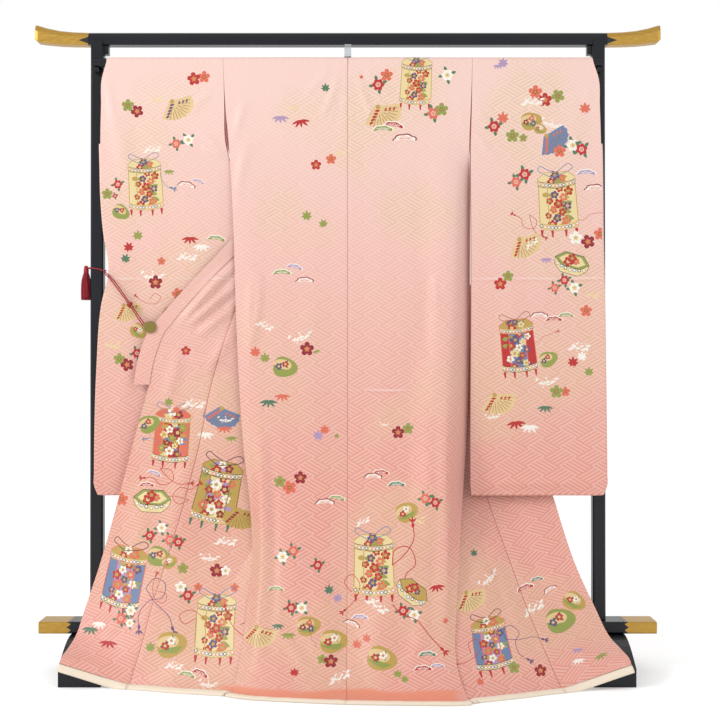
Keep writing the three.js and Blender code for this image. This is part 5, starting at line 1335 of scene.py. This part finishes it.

# Each motif, as read off the picture: name, column and row of its middle in picture pixels,
# size against the drawing's own, turn in degrees.
PLACED = {
    "sleeve_left": [
        ("box_cream", 145, 187, 0.92, 3), ("trail_blue", 160, 172, 0.75, -8),
        ("plum_coral", 204, 77, 0.85, 0), ("plum_red", 194, 79, 0.95, 10), ("plum_lime", 128, 106, 0.9, 0),
        ("plum_crimson", 137, 111, 0.9, 30), ("fan_violet", 172, 103, 1, 8),
        ("mist_cream", 158, 100, 0.6, 0), ("camellia_coral", 176, 144, 0.8, 0),
        ("camellia_white", 188, 140, 0.85, 20), ("mist", 152, 150, 0.7, 10),
        ("bamboo_lime", 169, 171, 0.55, 0), ("pine_white", 186, 187, 0.75, -12),
        ("pine_lilac", 198, 183, 0.55, -20), ("camellia_red", 118, 185, 0.75, 0),
        ("plum_lime", 107, 194, 0.8, 0), ("camellia_red", 115, 195, 0.4, 0),
        ("clam_lime", 120, 212, 0.62, -30), ("maple_lime", 138, 237, 0.8, 0),
        ("maple_red", 129, 248, 0.8, 20), ("maple_green", 125, 259, 0.75, -20),
        ("bamboo_red", 190, 238, 0.8, 0), ("bamboo_white", 201, 246, 0.8, 0),
        ("pine_lime", 216, 240, 0.8, -8), ("mist", 187, 257, 0.8, 0), ("mist_b", 153, 276, 0.9, 0),
        ("plum_crimson", 155, 283, 1, 0), ("plum_coral", 178, 293, 0.85, 15),
        ("plum_coral", 161, 261, 0.6, 0), ("fan_cream", 124, 308, 0.85, 0),
        ("lid_cream", 172, 312, 0.55, 20), ("loops_red", 150, 300, 0.5, 10),
        ("clam_gold", 138, 330, 0.6, -40), ("plum_lime", 119, 359, 0.85, 0),
        ("plum_crimson", 127, 364, 0.95, 20), ("camellia_red", 137, 354, 0.8, 0),
        ("mist_cream", 113, 345, 0.7, 0),
    ],
    "sleeve_right": [
        ("maple_lilac", 503, 64, 0.8, 0), ("bamboo_lilac", 498, 66, 0.5, 0), ("plum_coral", 536, 92, 1, 0),
        ("plum_red", 545, 99, 1, 0), ("plum_lime", 558, 96, 0.95, 30), ("maple_coral", 585, 108, 0.9, 0),
        ("mist", 533, 101, 0.9, 6), ("clam_cream", 530, 121, 0.75, 10), ("clam_gold", 540, 129, 0.45, -20),
        ("fan_blue", 548, 138, 1, 24), ("plum_lime", 513, 135, 0.95, 0), ("plum_lime", 523, 137, 0.6, 0),
        ("camellia_red", 494, 126, 1, 0), ("maple_coral", 503, 119, 0.95, 0),
        ("mist_b", 552, 124, 0.8, -14), ("camellia_white", 573, 145, 1, 0),
        ("camellia_red", 582, 150, 1, 20), ("plum_coral", 560, 151, 0.9, 0),
        ("camellia_red", 525, 175, 1, 0), ("camellia_coral", 516, 181, 0.9, 0),
        ("box_cream", 558, 203, 1.05, 4), ("pine_lilac", 586, 175, 0.85, 0),
        ("pine_white", 595, 189, 0.9, 0), ("trail_red", 578, 220, 0.5, 60),
        ("knot_red", 530, 215, 0.6, -80), ("fan_cream", 520, 241, 1, 10), ("plum_white", 576, 237, 0.95, 0),
        ("plum_crimson", 588, 242, 1, 20), ("plum_coral", 600, 234, 0.9, 0), ("lid_gold", 572, 262, 1, -16),
        ("bamboo_lilac", 546, 258, 0.6, 0), ("mist", 532, 243, 0.6, 40), ("plum_red", 500, 283, 0.9, 0),
        ("plum_lime", 508, 277, 0.8, 0), ("camellia_coral", 555, 288, 0.75, 0),
        ("camellia_red", 565, 280, 0.8, 0), ("camellia_white", 575, 287, 0.9, 0),
        ("plum_coral", 586, 310, 0.85, 0), ("mist_cream", 594, 296, 0.6, 0),
        ("pine_white", 539, 316, 0.75, 0), ("pine_red", 554, 320, 0.75, 0), ("pine_lime", 566, 317, 0.7, 0),
        ("box_night", 518, 347, 0.95, 6), ("trail_red", 534, 343, 0.4, 70),
        ("clam_lime", 547, 358, 0.65, 20), ("mist", 580, 347, 0.85, 0), ("maple_red", 573, 362, 0.85, 0),
        ("maple_white", 582, 357, 0.75, 0), ("maple_lime", 589, 372, 0.75, 0),
        ("mist_b", 547, 383, 0.85, 10), ("plum_coral", 565, 391, 0.7, 0), ("plum_lime", 556, 391, 0.95, 0),
        ("fan_cream", 494, 398, 1, -5), ("bamboo_green", 545, 408, 0.75, 0),
        ("bamboo_red", 516, 423, 0.9, 6), ("bamboo_white", 530, 427, 0.9, 0), ("mist_b", 493, 416, 0.6, 10),
    ],
    "back": [
        ("maple_green", 325, 89, 0.7, 0), ("bamboo_lilac", 281, 116, 0.8, 0),
        ("bamboo_red", 301, 120, 0.85, 10), ("mist_cream", 292, 108, 0.5, 0),
        ("plum_red", 316, 165, 0.75, 0), ("plum_coral", 331, 159, 0.75, 0),
        ("mist_cream", 341, 154, 0.6, 0), ("maple_lime", 307, 217, 0.8, 0),
        ("maple_lime", 323, 224, 0.7, 20), ("pine_lilac", 294, 268, 0.7, -12),
        ("pine_lime", 282, 274, 0.8, 0), ("pine_white", 305, 282, 0.75, 0), ("mist", 265, 325, 0.7, -20),
        ("mist_b", 301, 337, 0.9, 20), ("plum_crimson", 307, 349, 1, 0), ("bamboo_lime", 316, 350, 0.4, 20),
        ("maple_coral", 255, 352, 0.85, 0), ("maple_lime", 265, 358, 0.8, 0),
        ("clam_lime", 284, 366, 0.85, -10), ("bamboo_coral", 282, 395, 0.75, 0),
        ("bamboo_green", 269, 402, 0.85, 0), ("maple_coral", 325, 430, 0.75, 0),
        ("maple_lilac", 318, 437, 0.8, 0), ("maple_lime", 337, 437, 0.4, 0),
        ("plum_crimson", 300, 477, 0.9, 0), ("plum_lime", 280, 481, 0.85, 0),
        ("plum_coral", 290, 487, 0.95, 20), ("pine_lime", 337, 499, 0.7, -8),
        ("pine_white", 325, 503, 0.8, 0), ("camellia_coral", 293, 551, 0.85, 0),
        ("camellia_white", 283, 556, 0.9, 0), ("camellia_red", 318, 564, 0.8, 0),
        ("pine_lime", 276, 590, 0.7, 0), ("maple_green", 329, 591, 0.75, 0),
        ("maple_lilac", 338, 598, 0.7, 0), ("camellia_red", 291, 608, 0.85, 0),
        ("camellia_white", 302, 607, 0.85, 30), ("fan_cream", 256, 628, 1, -20),
        ("bamboo_green", 278, 625, 0.6, 0), ("bamboo_lime", 288, 635, 0.7, 0),
        ("clam_cream", 307, 625, 0.8, 10), ("clam_gold", 332, 641, 0.95, 0),
        ("trail_red", 316, 648, 0.35, 150), ("plum_lime", 322, 658, 0.7, 0),
        ("plum_crimson", 331, 661, 0.95, 0), ("maple_red", 295, 672, 0.7, 0), ("mist", 340, 677, 0.9, 30),
        ("camellia_red", 378, 85, 1, 0), ("plum_coral", 387, 75, 0.9, 0), ("box_cream", 416, 82, 0.85, -2),
        ("camellia_white", 447, 74, 0.95, 0), ("fan_cream", 378, 110, 1.1, 0),
        ("camellia_coral", 433, 113, 1, 0), ("plum_lime", 442, 109, 0.95, 0),
        ("pine_red", 394, 126, 0.9, -8), ("pine_lime", 383, 130, 0.9, 0), ("pine_white", 405, 139, 1, 0),
        ("plum_coral", 361, 76, 0.3, 0), ("mist_b", 384, 424, 0.35, 0), ("plum_crimson", 398, 433, 0.9, 0),
        ("plum_lime", 408, 428, 0.8, 0), ("pine_red", 381, 473, 0.7, 0), ("pine_white", 373, 478, 0.75, 0),
        ("pine_green", 396, 485, 0.75, 0), ("camellia_coral", 425, 499, 0.85, 0),
        ("camellia_red", 435, 502, 0.85, 0), ("clam_gold", 406, 511, 0.8, 25),
        ("mist_cream", 418, 520, 0.7, 0), ("box_cream", 374, 567, 1.07, 1), ("knot_red", 392, 566, 1, 40),
        ("lid_cream", 413, 590, 0.95, -38), ("bamboo_red", 437, 587, 0.75, 10),
        ("camellia_red", 403, 611, 0.85, 0), ("camellia_white", 414, 615, 0.85, 0),
        ("mist", 377, 606, 0.9, -30), ("mist", 363, 522, 0.6, 30), ("trail_red", 393, 604, 1, 0),
        ("loops_red", 352, 592, 0.75, 90), ("pine_lilac", 360, 618, 0.7, 0),
        ("pine_white", 352, 624, 0.7, -20), ("maple_coral", 367, 638, 0.7, 0),
        ("maple_coral", 357, 644, 0.75, 0), ("clam_gold", 380, 658, 1, -15),
        ("maple_lime", 398, 674, 0.65, 0), ("maple_lime", 405, 680, 0.6, 20),
        ("pine_green", 427, 656, 0.75, 0), ("pine_lilac", 437, 666, 0.6, 0),
        ("pine_red", 423, 670, 0.75, 0), ("maple_coral", 445, 620, 0.5, 0),
    ],
    "left": [
        ("box_red", 172, 438, 0.98, -4), ("trail_blue", 160, 445, 0.6, 200),
        ("knot_red", 160, 468, 0.75, -50), ("clam_lime", 148, 424, 0.75, 20),
        ("box_gold", 217, 494, 1.15, -12), ("knot_red", 190, 500, 0.7, 160), ("fan_gold", 238, 512, 1, -20),
        ("fan_blue", 220, 410, 1, -30), ("lid_gold", 152, 500, 1.1, -3), ("plum_coral", 122, 500, 0.95, 0),
        ("pine_red", 147, 486, 0.7, 0), ("pine_lilac", 154, 474, 0.65, -20),
        ("maple_lime", 169, 402, 0.7, 0), ("maple_coral", 176, 411, 0.6, 0),
        ("bamboo_coral", 225, 428, 0.75, 0), ("bamboo_lime", 232, 438, 0.6, 0),
        ("bamboo_white", 206, 434, 0.8, 0), ("mist", 194, 404, 0.9, 0), ("mist_b", 225, 420, 0.6, 0),
        ("camellia_white", 162, 528, 0.85, 0), ("camellia_red", 150, 535, 0.85, 0),
        ("camellia_coral", 170, 539, 0.9, 0), ("camellia_red", 179, 541, 0.85, 0),
        ("mist", 227, 542, 0.85, 0), ("mist_b", 209, 558, 0.75, 0), ("box_lilac", 124, 578, 1.12, -10),
        ("clam_lime", 158, 556, 0.85, -15), ("clam_gold", 169, 562, 0.55, 20),
        ("knot_ink", 146, 588, 1, 10), ("loops_red", 158, 590, 0.6, -60), ("plum_crimson", 217, 570, 1, 0),
        ("plum_white", 226, 570, 0.7, 0), ("plum_lime", 183, 567, 0.8, 0),
        ("plum_coral", 235, 587, 0.65, 0), ("camellia_red", 188, 594, 0.9, 0),
        ("plum_coral", 198, 587, 0.6, 0), ("plum_white", 181, 587, 0.8, 0),
        ("box_cream", 216, 628, 1.07, 0), ("loops_red", 196, 618, 0.7, 170),
        ("loops_red", 240, 625, 0.8, -20), ("camellia_coral", 121, 618, 0.9, 0),
        ("camellia_white", 131, 610, 0.85, 0), ("camellia_white", 130, 622, 0.7, 0),
        ("bamboo_green", 91, 629, 0.9, 0), ("bamboo_white", 100, 622, 0.8, 0),
        ("bamboo_red", 109, 641, 0.9, 0), ("clam_gold", 170, 643, 1.05, 10),
        ("maple_lime", 151, 648, 0.8, 0), ("pine_lime", 187, 676, 0.75, -10),
        ("pine_red", 200, 675, 0.75, -20), ("mist", 175, 665, 0.7, 0), ("mist_b", 208, 684, 0.7, 0),
        ("plum_red", 186, 351, 0.7, 0),
    ],
    "right": [
        ("pine_green", 537, 580, 0.6, 10), ("pine_red", 525, 590, 0.85, 18),
        ("pine_white", 550, 591, 0.65, 30), ("clam_gold", 573, 601, 0.85, -30),
        ("clam_lime", 558, 620, 1.1, 10), ("mist", 534, 607, 1, 30), ("mist_b", 489, 578, 0.9, 40),
        ("fan_cream", 466, 596, 1, 0), ("box_lilac", 491, 645, 1, 8), ("loops_red", 470, 652, 0.7, 60),
        ("knot_ink", 505, 640, 0.8, 60), ("trail_red", 525, 650, 0.1, 0), ("plum_lime", 514, 667, 0.85, 0),
        ("plum_crimson", 540, 671, 0.9, 0), ("bamboo_lime", 600, 655, 0.75, 20),
        ("bamboo_white", 578, 660, 0.65, 0), ("bamboo_lilac", 577, 650, 0.6, 0),
        ("maple_green", 474, 553, 0.6, 0), ("maple_coral", 480, 682, 0.6, 0),
    ],
}


def in_picture(p):
    """Picture column and row of points in millimetres."""
    scale = PICTURE * LENS / SENSOR / (EYE_REACH - p[:, 1])
    return PICTURE / 2 + (p[:, 0] - EYE_X) * scale, HORIZON_ROW - (p[:, 2] - EYE_Z) * scale


GRIDS = {}  # places on each side of each panel, with where the picture shows them


def on_cloth(panels, front, column, row):
    """Cloth coordinates of the place seen at a picture column and row, on the panels' near or far side."""
    best = None
    for panel in panels:
        if (front, panel) not in GRIDS:
            edge = panel.notch[0] if front and panel.notch else panel.lines_c[-1]
            c, q = np.meshgrid(
                np.linspace(panel.lines_c[0], edge, 120), panel.q[(panel.q > panel.middle) == front])
            GRIDS[front, panel] = c.ravel(), q.ravel(), *in_picture(panel.at(c.ravel(), q.ravel()))
        c, q, columns, rows = GRIDS[front, panel]
        off = (columns - column) ** 2 + (rows - row) ** 2
        k = int(np.argmin(off))
        if best is None or off[k] < best[0]:
            u = -abs(float(np.interp(q[k], panel.q, panel.v)))
            best = off[k], float(panel.s_of(c[k:k + 1], q[k:k + 1], front)[0]), u
    return best[1:]


LAID = {}
for key, names, front in (
    ("sleeve_left", ["sleeve_left"], False), ("sleeve_right", ["sleeve_right"], False),
    ("back", ["body_left", "body_right"], False),
    ("left", ["body_left", "overlap_left"], True), ("right", ["body_right", "overlap_right"], True),
):
    LAID[key] = [
        (kind, *on_cloth([PANELS[n] for n in names], front, column, row), size, turn, False)
        for kind, column, row, size, turn in PLACED[key]
    ]
# The sleeves' far sides carry their near sides' motifs turned about. The fronts' hidden parts have a few of
# their own: name, columns outward from the middle of the back, row, size.
BACK_MIDDLE = 348
FAR_SWAY, FAR_DROP = 14, 24  # how far the far sides' motifs wander from a mirror image
UNSEEN = (
    ("plum_crimson", 52, 104, 0.9), ("plum_lime", 64, 108, 0.8), ("bamboo_red", 84, 150, 0.8),
    ("fan_cream", 60, 190, 0.9), ("mist", 72, 206, 0.9), ("pine_white", 88, 236, 0.8),
    ("camellia_red", 70, 282, 0.9), ("maple_coral", 56, 318, 0.8), ("clam_gold", 78, 372, 0.9),
    ("maple_lime", 60, 420, 0.8), ("plum_coral", 84, 462, 0.9), ("bamboo_green", 60, 520, 0.8),
)
for hand, side in HANDS:
    near = LAID["sleeve_" + side]
    inner = float(PANELS["sleeve_" + side].x.mean())
    LAID["far_sleeve_" + side] = [
        (kind, 2 * inner - s + FAR_SWAY * math.sin(u), u - FAR_DROP, size, -turn, True)
        for kind, s, u, size, turn, _ in near
    ]
    fronts = [PANELS["body_" + side], PANELS["overlap_" + side]]
    LAID[side] += [
        (kind, *on_cloth(fronts, True, BACK_MIDDLE + hand * out, row), size, 0, False)
        for kind, out, row, size in UNSEEN
    ]
ART, MISTS = {}, {}
MIST_REACH = 0.05
for name in PANELS:
    kind, side = name.split("_")
    sides = {
        "body": (("back", False), (side, True)), "overlap": ((side, True),),
        "sleeve": ((name, False), ("far_" + name, True)),
    }[kind]
    art, spots = [], []
    for key, front in sides:
        for kind, s, u, size, turn, flip in LAID[key]:
            drawn = Drawing().put(MOTIFS[kind], s, u, size, math.radians(turn), flip)
            art += [(outline, front, INK[ink]) for outline, ink in drawn.shapes]
            if kind.startswith(("box", "clam", "fan", "mist", "lid")):
                spots.append((s / 1000, u / 1000, MIST_REACH * (1 + size)))
    ART[name], MISTS[name] = art, spots
# A thin painted shade runs along the front's edge at the seam between front and overlap, between two counts of
# c.
SEAM_SHADE = (7.945, 7.985)
for _, side in HANDS:
    panel = PANELS["body_" + side]
    q = np.linspace(SWEEP_START + 10, panel.q[-1] - 2, 50)
    inner, outer = (panel.s_of(np.full(50, c), q, True) for c in SEAM_SHADE)
    down = -np.abs(np.interp(q, panel.q, panel.v))
    outline = np.concatenate([np.stack([inner, down], axis=1), np.stack([outer, down], axis=1)[::-1]])
    ART["body_" + side].append((outline, True, INK["seam"]))

TOWARD_EYE = np.array([0.0, -1, 0])


def sleeve_rim(panel, hand):
    """The sewn outer edge below the wrist, then the fold along the bottom."""
    rows = panel.lines_v[panel.lines_v <= np.interp(-WRIST, panel.q, panel.v) + SAME][::-1]
    c = np.concatenate([np.ones(len(rows)), panel.lines_c[::-1][1:]])
    q = np.concatenate([np.interp(rows, panel.v, panel.q), np.full(len(panel.lines_c) - 1, -SLEEVE_DEEP)])
    near, far = metres(panel.at(c, q)), metres(panel.at(c, ROD_RUN - q))
    # Outward turns from the side to straight down within seven places of the corner.
    tilt = np.clip((np.arange(len(c)) - len(rows) + 4) / 7, 0, 1)[:, None]
    outward = mix(np.array([[hand, 0, 0]]), np.array([[0, 0, -1.0]]), tilt)
    outward /= np.linalg.norm(outward, axis=1)[:, None]
    uv = np.stack([panel.s_of(c, q, False), -np.abs(np.interp(q, panel.q, panel.v))], axis=1) / 1000
    return edge_patch(near, far, TOWARD_EYE, -TOWARD_EYE, outward, EDGE_ROUND / 1000, uv)


CLOTH, COLLAR_CLOTH = 0.002, 0.003
# The flat piece, the area of what hangs, and how it is held, in metres.
SHEETS = {
    "body": dict(flat=(0.33, 3.4), area=0.855, held="hung", rests_on=["rod"]),
    "overlap": dict(flat=(0.16, 1.3), area=0.16, held="hung", rests_on=[]),
    "sleeve": dict(flat=(0.34, 2.3), area=0.78, held="hung", rests_on=["rod"]),
    "collar": dict(flat=(0.055, 1.9), area=0.08, held="folded", rests_on=[]),
}
for name, panel in PANELS.items():
    kind, side = name.split("_")
    patches = [panel.cut(ART[name])]
    if kind == "sleeve":
        patches.append(sleeve_rim(panel, {"left": -1, "right": 1}[side]))
    outer = SILK_SWEPT if kind == "overlap" else SILK
    o = shell(name + "_cloth", patches, CLOTH, [outer, LINING], MISTS[name])
    declare(o, name, "silk", **SHEETS[kind])

# Collar: a folded band from the left end, round the back of the neck, to the right end.
COLLAR_Z = [752, 815, 881, 910, 940, 990, 1040, 1094, 1148, 1200, 1260, 1320, 1380, 1430, 1480, 1540]
COLLAR_ACROSS = (2.99, 3.333, 3.667, 4.0)
COLLAR_LIFT = 1.6  # how far the left side lies in front of the cloth's own surface
NECK_STEPS = (-NECK, -76, -58, -30, 0, 30, 58, 76, NECK)


def side_row(hand, z):
    """Points across the collar at one height of a front."""
    points = FRONTS[hand](np.array(COLLAR_ACROSS), np.full(len(COLLAR_ACROSS), float(z)))
    return points + (0, COLLAR_LIFT if hand < 0 else 0, 0)


def neck_row(x):
    """Points across the collar where it lies round the rod behind the neck."""
    share = 1 - 0.07 * abs(x / NECK)
    turn = math.radians(mix(104, 150, abs(x / NECK) ** 3))
    r = FOLD_R + 0.5
    row = [
        [x * share**power, ROD_REACH + r * math.cos(a), ROD_Z + r * math.sin(a)]
        for power, a in ((1, turn), (1, (turn + math.pi) / 2), (2, math.pi))
    ]
    return row + [[x * share**3, 18, ROD_Z - 44]]


BAND = np.array(
    [side_row(-1, z) for z in COLLAR_Z] + [neck_row(x) for x in NECK_STEPS]
    + [side_row(1, z) for z in COLLAR_Z[::-1]]
)


def collar_at(c, q):
    c, q = np.broadcast_arrays(np.asarray(c, float), np.asarray(q, float))
    shape, c, q = c.shape, c.ravel(), q.ravel()
    across = [[smooth(np.arange(len(BAND)), list(BAND[:, j, k]), q) for k in range(3)] for j in range(4)]
    p = [smooth([0, 1, 2, 3], [across[j][k] for j in range(4)], c) for k in range(3)]
    return np.stack(p, axis=-1).reshape(shape + (3,))


last = len(BAND) - 1
band = Panel(
    collar_at, lines(0, 3, 9, (0.05, 2.95)), [0, 15, 20, 25, last], lambda q: 0.0, lambda q: -1, 1,
    middle=last + 1, step=0.1, pitch=8.0,
)
o = shell("collar_band", [band.cut([])], COLLAR_CLOTH, [COLLAR_SILK, COLLAR_SILK])
declare(o, "collar", "collar_silk", **SHEETS["collar"])


# ---------- Padded hem ----------
PAD_WIDTH, PAD_HEIGHT, PAD_SIDES = 20.0, 9.0, 14
PAD_GAP = 0.8  # from the cloth's edge to the padding, in millimetres
LEAST_Z, END_GAP = 0.0002, 0.0002  # over the floor, and from one stretch to the next, in metres
# Cloth coordinates from ring to ring and from side to side.
RING_STEP, SIDE_STEP = 0.012, 0.004


def hem_line(hand, kind, start, end, count):
    """Points along a panel's lower edge and the way the cloth runs there, in metres."""
    across = np.linspace(start, end, count)
    surface = (BACKS if kind == "back" else FRONTS)[hand]
    bottom = BACK_HEM_Z if kind == "back" else FRONT_HEM_Z[hand]
    low, high = (metres(surface(across, np.full(count, z))) for z in (bottom, bottom + 3))
    down = low - high
    return low, down / np.linalg.norm(down, axis=1)[:, None]


def padding_ring(end, down, along, swell):
    """The padding beyond a hem point, turned up just enough to rest on the floor."""
    flat = np.array([down[0], down[1], 0.0])
    flat /= np.linalg.norm(flat)
    turns = np.arange(PAD_SIDES) * 2 * math.pi / PAD_SIDES

    def ring(drop):
        way = flat * math.sqrt(1 - drop * drop) + np.array([0, 0, -drop])
        way -= along * (way @ along)
        way /= np.linalg.norm(way)
        out = np.cross(along, way)
        centre = end + way * (PAD_WIDTH / 2 + PAD_GAP) / 1000
        return centre + (
            np.cos(turns)[:, None] * way * PAD_WIDTH / 2 + np.sin(turns)[:, None] * out * PAD_HEIGHT / 2 * swell
        ) / 1000

    high, low = min(0.999, -down[2]), -0.5
    if ring(high)[:, 2].min() >= LEAST_Z:
        return ring(high)
    # Close in on the steepest turn that clears the floor.
    for _ in range(24):
        half = (low + high) / 2
        if ring(half)[:, 2].min() >= LEAST_Z:
            low = half
        else:
            high = half
    return ring(low)


HEM = [
    (-1, "overlap", 3, 2, 22), (-1, "front", 2, 0, 34), (-1, "back", 0, 1, 40),
    (1, "back", 1, 0, 40), (1, "front", 0, 2, 34), (1, "overlap", 2, 3, 22),
]
pieces = [list(hem_line(*row)) for row in HEM]
for one, two in zip(pieces, pieces[1:]):
    end = one[0][-1] if one[0][-1][1] < two[0][0][1] else two[0][0]
    down = one[1][-1] + two[1][0]
    down /= np.linalg.norm(down)
    one[0][-1] = two[0][0] = end
    one[1][-1] = two[1][0] = down
for (hand, kind, *_), (ends, downs) in zip(HEM, pieces):
    side = "left" if hand < 0 else "right"
    along = np.gradient(ends, axis=0)
    along /= np.linalg.norm(along, axis=1)[:, None]
    rings = []
    for i, (e, d, a) in enumerate(zip(ends, downs, along)):
        swell = 1 + 0.16 * noise.noise(Vector(e) * 45) + 0.1 * noise.noise(Vector(e) * 130)
        if i in (0, len(ends) - 1):
            e = e + a * (END_GAP if i == 0 else -END_GAP)
        rings.append(padding_ring(e, d, a, swell))
    uv = []
    for r in range(len(rings) - 1):
        for s in range(PAD_SIDES):
            uv += [((r + i) * RING_STEP, (s + j) * SIDE_STEP) for i, j in ((0, 0), (0, 1), (1, 1), (1, 0))]
    uv += [(0, 0)] * (2 * PAD_SIDES)
    name = "hem_%s_%s" % (kind, side)
    faces = ring_faces(len(rings), PAD_SIDES)
    o = new_object(name + "_padding", np.concatenate(rings), faces, [PADDING], uv=uv)
    declare(o, name, "padded_lining")


# ---------- The stand and the small parts ----------
def gold_material(name, boundary):
    """Soft gold leaf; boundary(m, x, y, z) gives 1 where the black lacquer runs into it."""
    m = Nodes(name)
    where = m.add("TexCoord").outputs["Object"]
    x, y, z = m.add("SeparateXYZ", {0: where}).outputs
    black = boundary(m, m.math("ABSOLUTE", x), y, z)
    grain = m.noise(m.add("Mapping", {"Vector": where, "Scale": (1, 8, 8)}), 60.0, 3.0)
    gold = m.mix(grain, srgb(176, 128, 44), srgb(226, 186, 96))
    m.set(Base_Color=m.mix(black, gold, srgb(8, 10, 18)), Roughness=m.ramp(grain, -1.0, 3.0))
    m.set(Metallic=m.times(m.minus(1.0, black), 0.85))
    m.round_edges(0.002)
    return m.material


def fishtail(m, x, y, z):
    """Black tongue on the lower half of the end nearest the rail."""
    out = m.math("DIVIDE", m.minus(x, 0.683), 0.026)
    level = m.math("ABSOLUTE", m.math("DIVIDE", m.minus(z, 1.658), 0.009))
    return m.math("LESS_THAN", m.plus(out, level), 1.0)


def zigzag(m, x, y, z):
    """Black teeth round the low rail's end."""
    wave = m.math("PINGPONG", m.plus(y, m.times(z, 1.4)), 0.011)
    return m.math("LESS_THAN", m.plus(m.minus(x, 0.728), wave), 0.004)


RAIL_GOLD = gold_material("rail_gold", fishtail)
LOW_GOLD = gold_material("low_rail_gold", zigzag)


def dress_node(node, material):
    NODES[node].data.materials.clear()
    NODES[node].data.materials.append(material)


for node in NODES:
    if node.startswith("rail_end"):
        dress_node(node, RAIL_GOLD)
    elif node.startswith("lower_end"):
        dress_node(node, LOW_GOLD)
    elif node.startswith(("top_rail", "lower_rail", "post", "foot", "corner", "rod")):
        dress_node(node, LACQUER)

clip = Nodes("clip_metal")
clip.set(Base_Color=srgb(150, 134, 70), Metallic=0.7, Roughness=0.38)
clip.round_edges(0.0012)
dress_node("front_clip", clip.material)
strap = Nodes("clear_plastic")
strap.set(Base_Color=srgb(236, 242, 244), Roughness=0.12, Transmission_Weight=0.85, IOR=1.3)
dress_node("neck_strap", strap.material)
slide = Nodes("slide_red")
slide.set(Base_Color=srgb(170, 22, 34), Roughness=0.5)
dress_node("cord_slide", slide.material)

# Tassel: a bound head and fine strands that hang from it.
rng = np.random.default_rng(7)
centre = np.array([-0.691, POST_Y / 1000, 1.058])
# Radius and height along the head.
HEAD = (
    (0.0006, 0.0075), (0.0045, 0.0062), (0.0064, 0.003), (0.0054, 0.0), (0.0066, -0.003), (0.0068, -0.008),
    (0.006, -0.013),
)
HEAD_R, STRAND_R, STRANDS = 0.0068, 0.0008, 210
parts = [tube([centre + (0, 0, z) for _, z in HEAD], HEAD_R, 20, taper=[r / HEAD_R for r, _ in HEAD])]
for _ in range(STRANDS):
    turn, share = rng.uniform(0, 2 * math.pi), math.sqrt(rng.uniform(0, 1))
    lean = turn + rng.normal(0, 0.12)
    drop = rng.uniform(0.078, 0.084)
    steps = ((turn, 0.005, -0.008), (turn, 0.0115, -0.03), (lean, 0.0132, -0.056), (lean, 0.0128, -drop))
    path = [centre + (math.cos(a) * r * share, math.sin(a) * r * share, z) for a, r, z in steps]
    parts.append(tube(through(path, 9), STRAND_R, 4))
verts, faces, uv = joined(parts)
o = new_object("tassel_strands", verts, faces, [RED_CORD], uv=uv)
declare(o, "tassel", "red_cord")

# ---------- Stage ----------
floor_look = Nodes("floor")
floor_look.set(Base_Color=(0.82, 0.82, 0.82, 1), Roughness=0.8)
floor_look.set(Emission_Color=(1, 1, 1, 1), Emission_Strength=0.2)
FLOOR = 30  # from the middle to each side
corners = [(x * FLOOR, y * FLOOR, 0) for x, y in ((-1, -1), (1, -1), (1, 1), (-1, 1))]
floor = new_object("floor", corners, [(0, 1, 2, 3)], [floor_look.material])
world = bpy.data.worlds.new("world")
bpy.context.scene.world = world
world.use_nodes = True
world.node_tree.nodes["Background"].inputs["Color"].default_value = (1, 1, 1, 1)
world.node_tree.nodes["Background"].inputs["Strength"].default_value = 1.0


def lamp(name, place, aim, power, size):
    data = bpy.data.lights.new(name, "AREA")
    data.energy, data.size, data.shape = power, size, "DISK"
    o = bpy.data.objects.new(name, data)
    o.location = place
    o.rotation_euler = (Vector(aim) - Vector(place)).to_track_quat("-Z", "Y").to_euler()
    bpy.context.scene.collection.objects.link(o)


lamp("key", (-3.6, -2.7, 3.0), (0, 0, 0.9), 104, 1.2)
lamp("fill", (2.8, -3.6, 1.6), (0, 0, 0.8), 26, 2.0)
bpy.context.scene.view_settings.view_transform = "Standard"
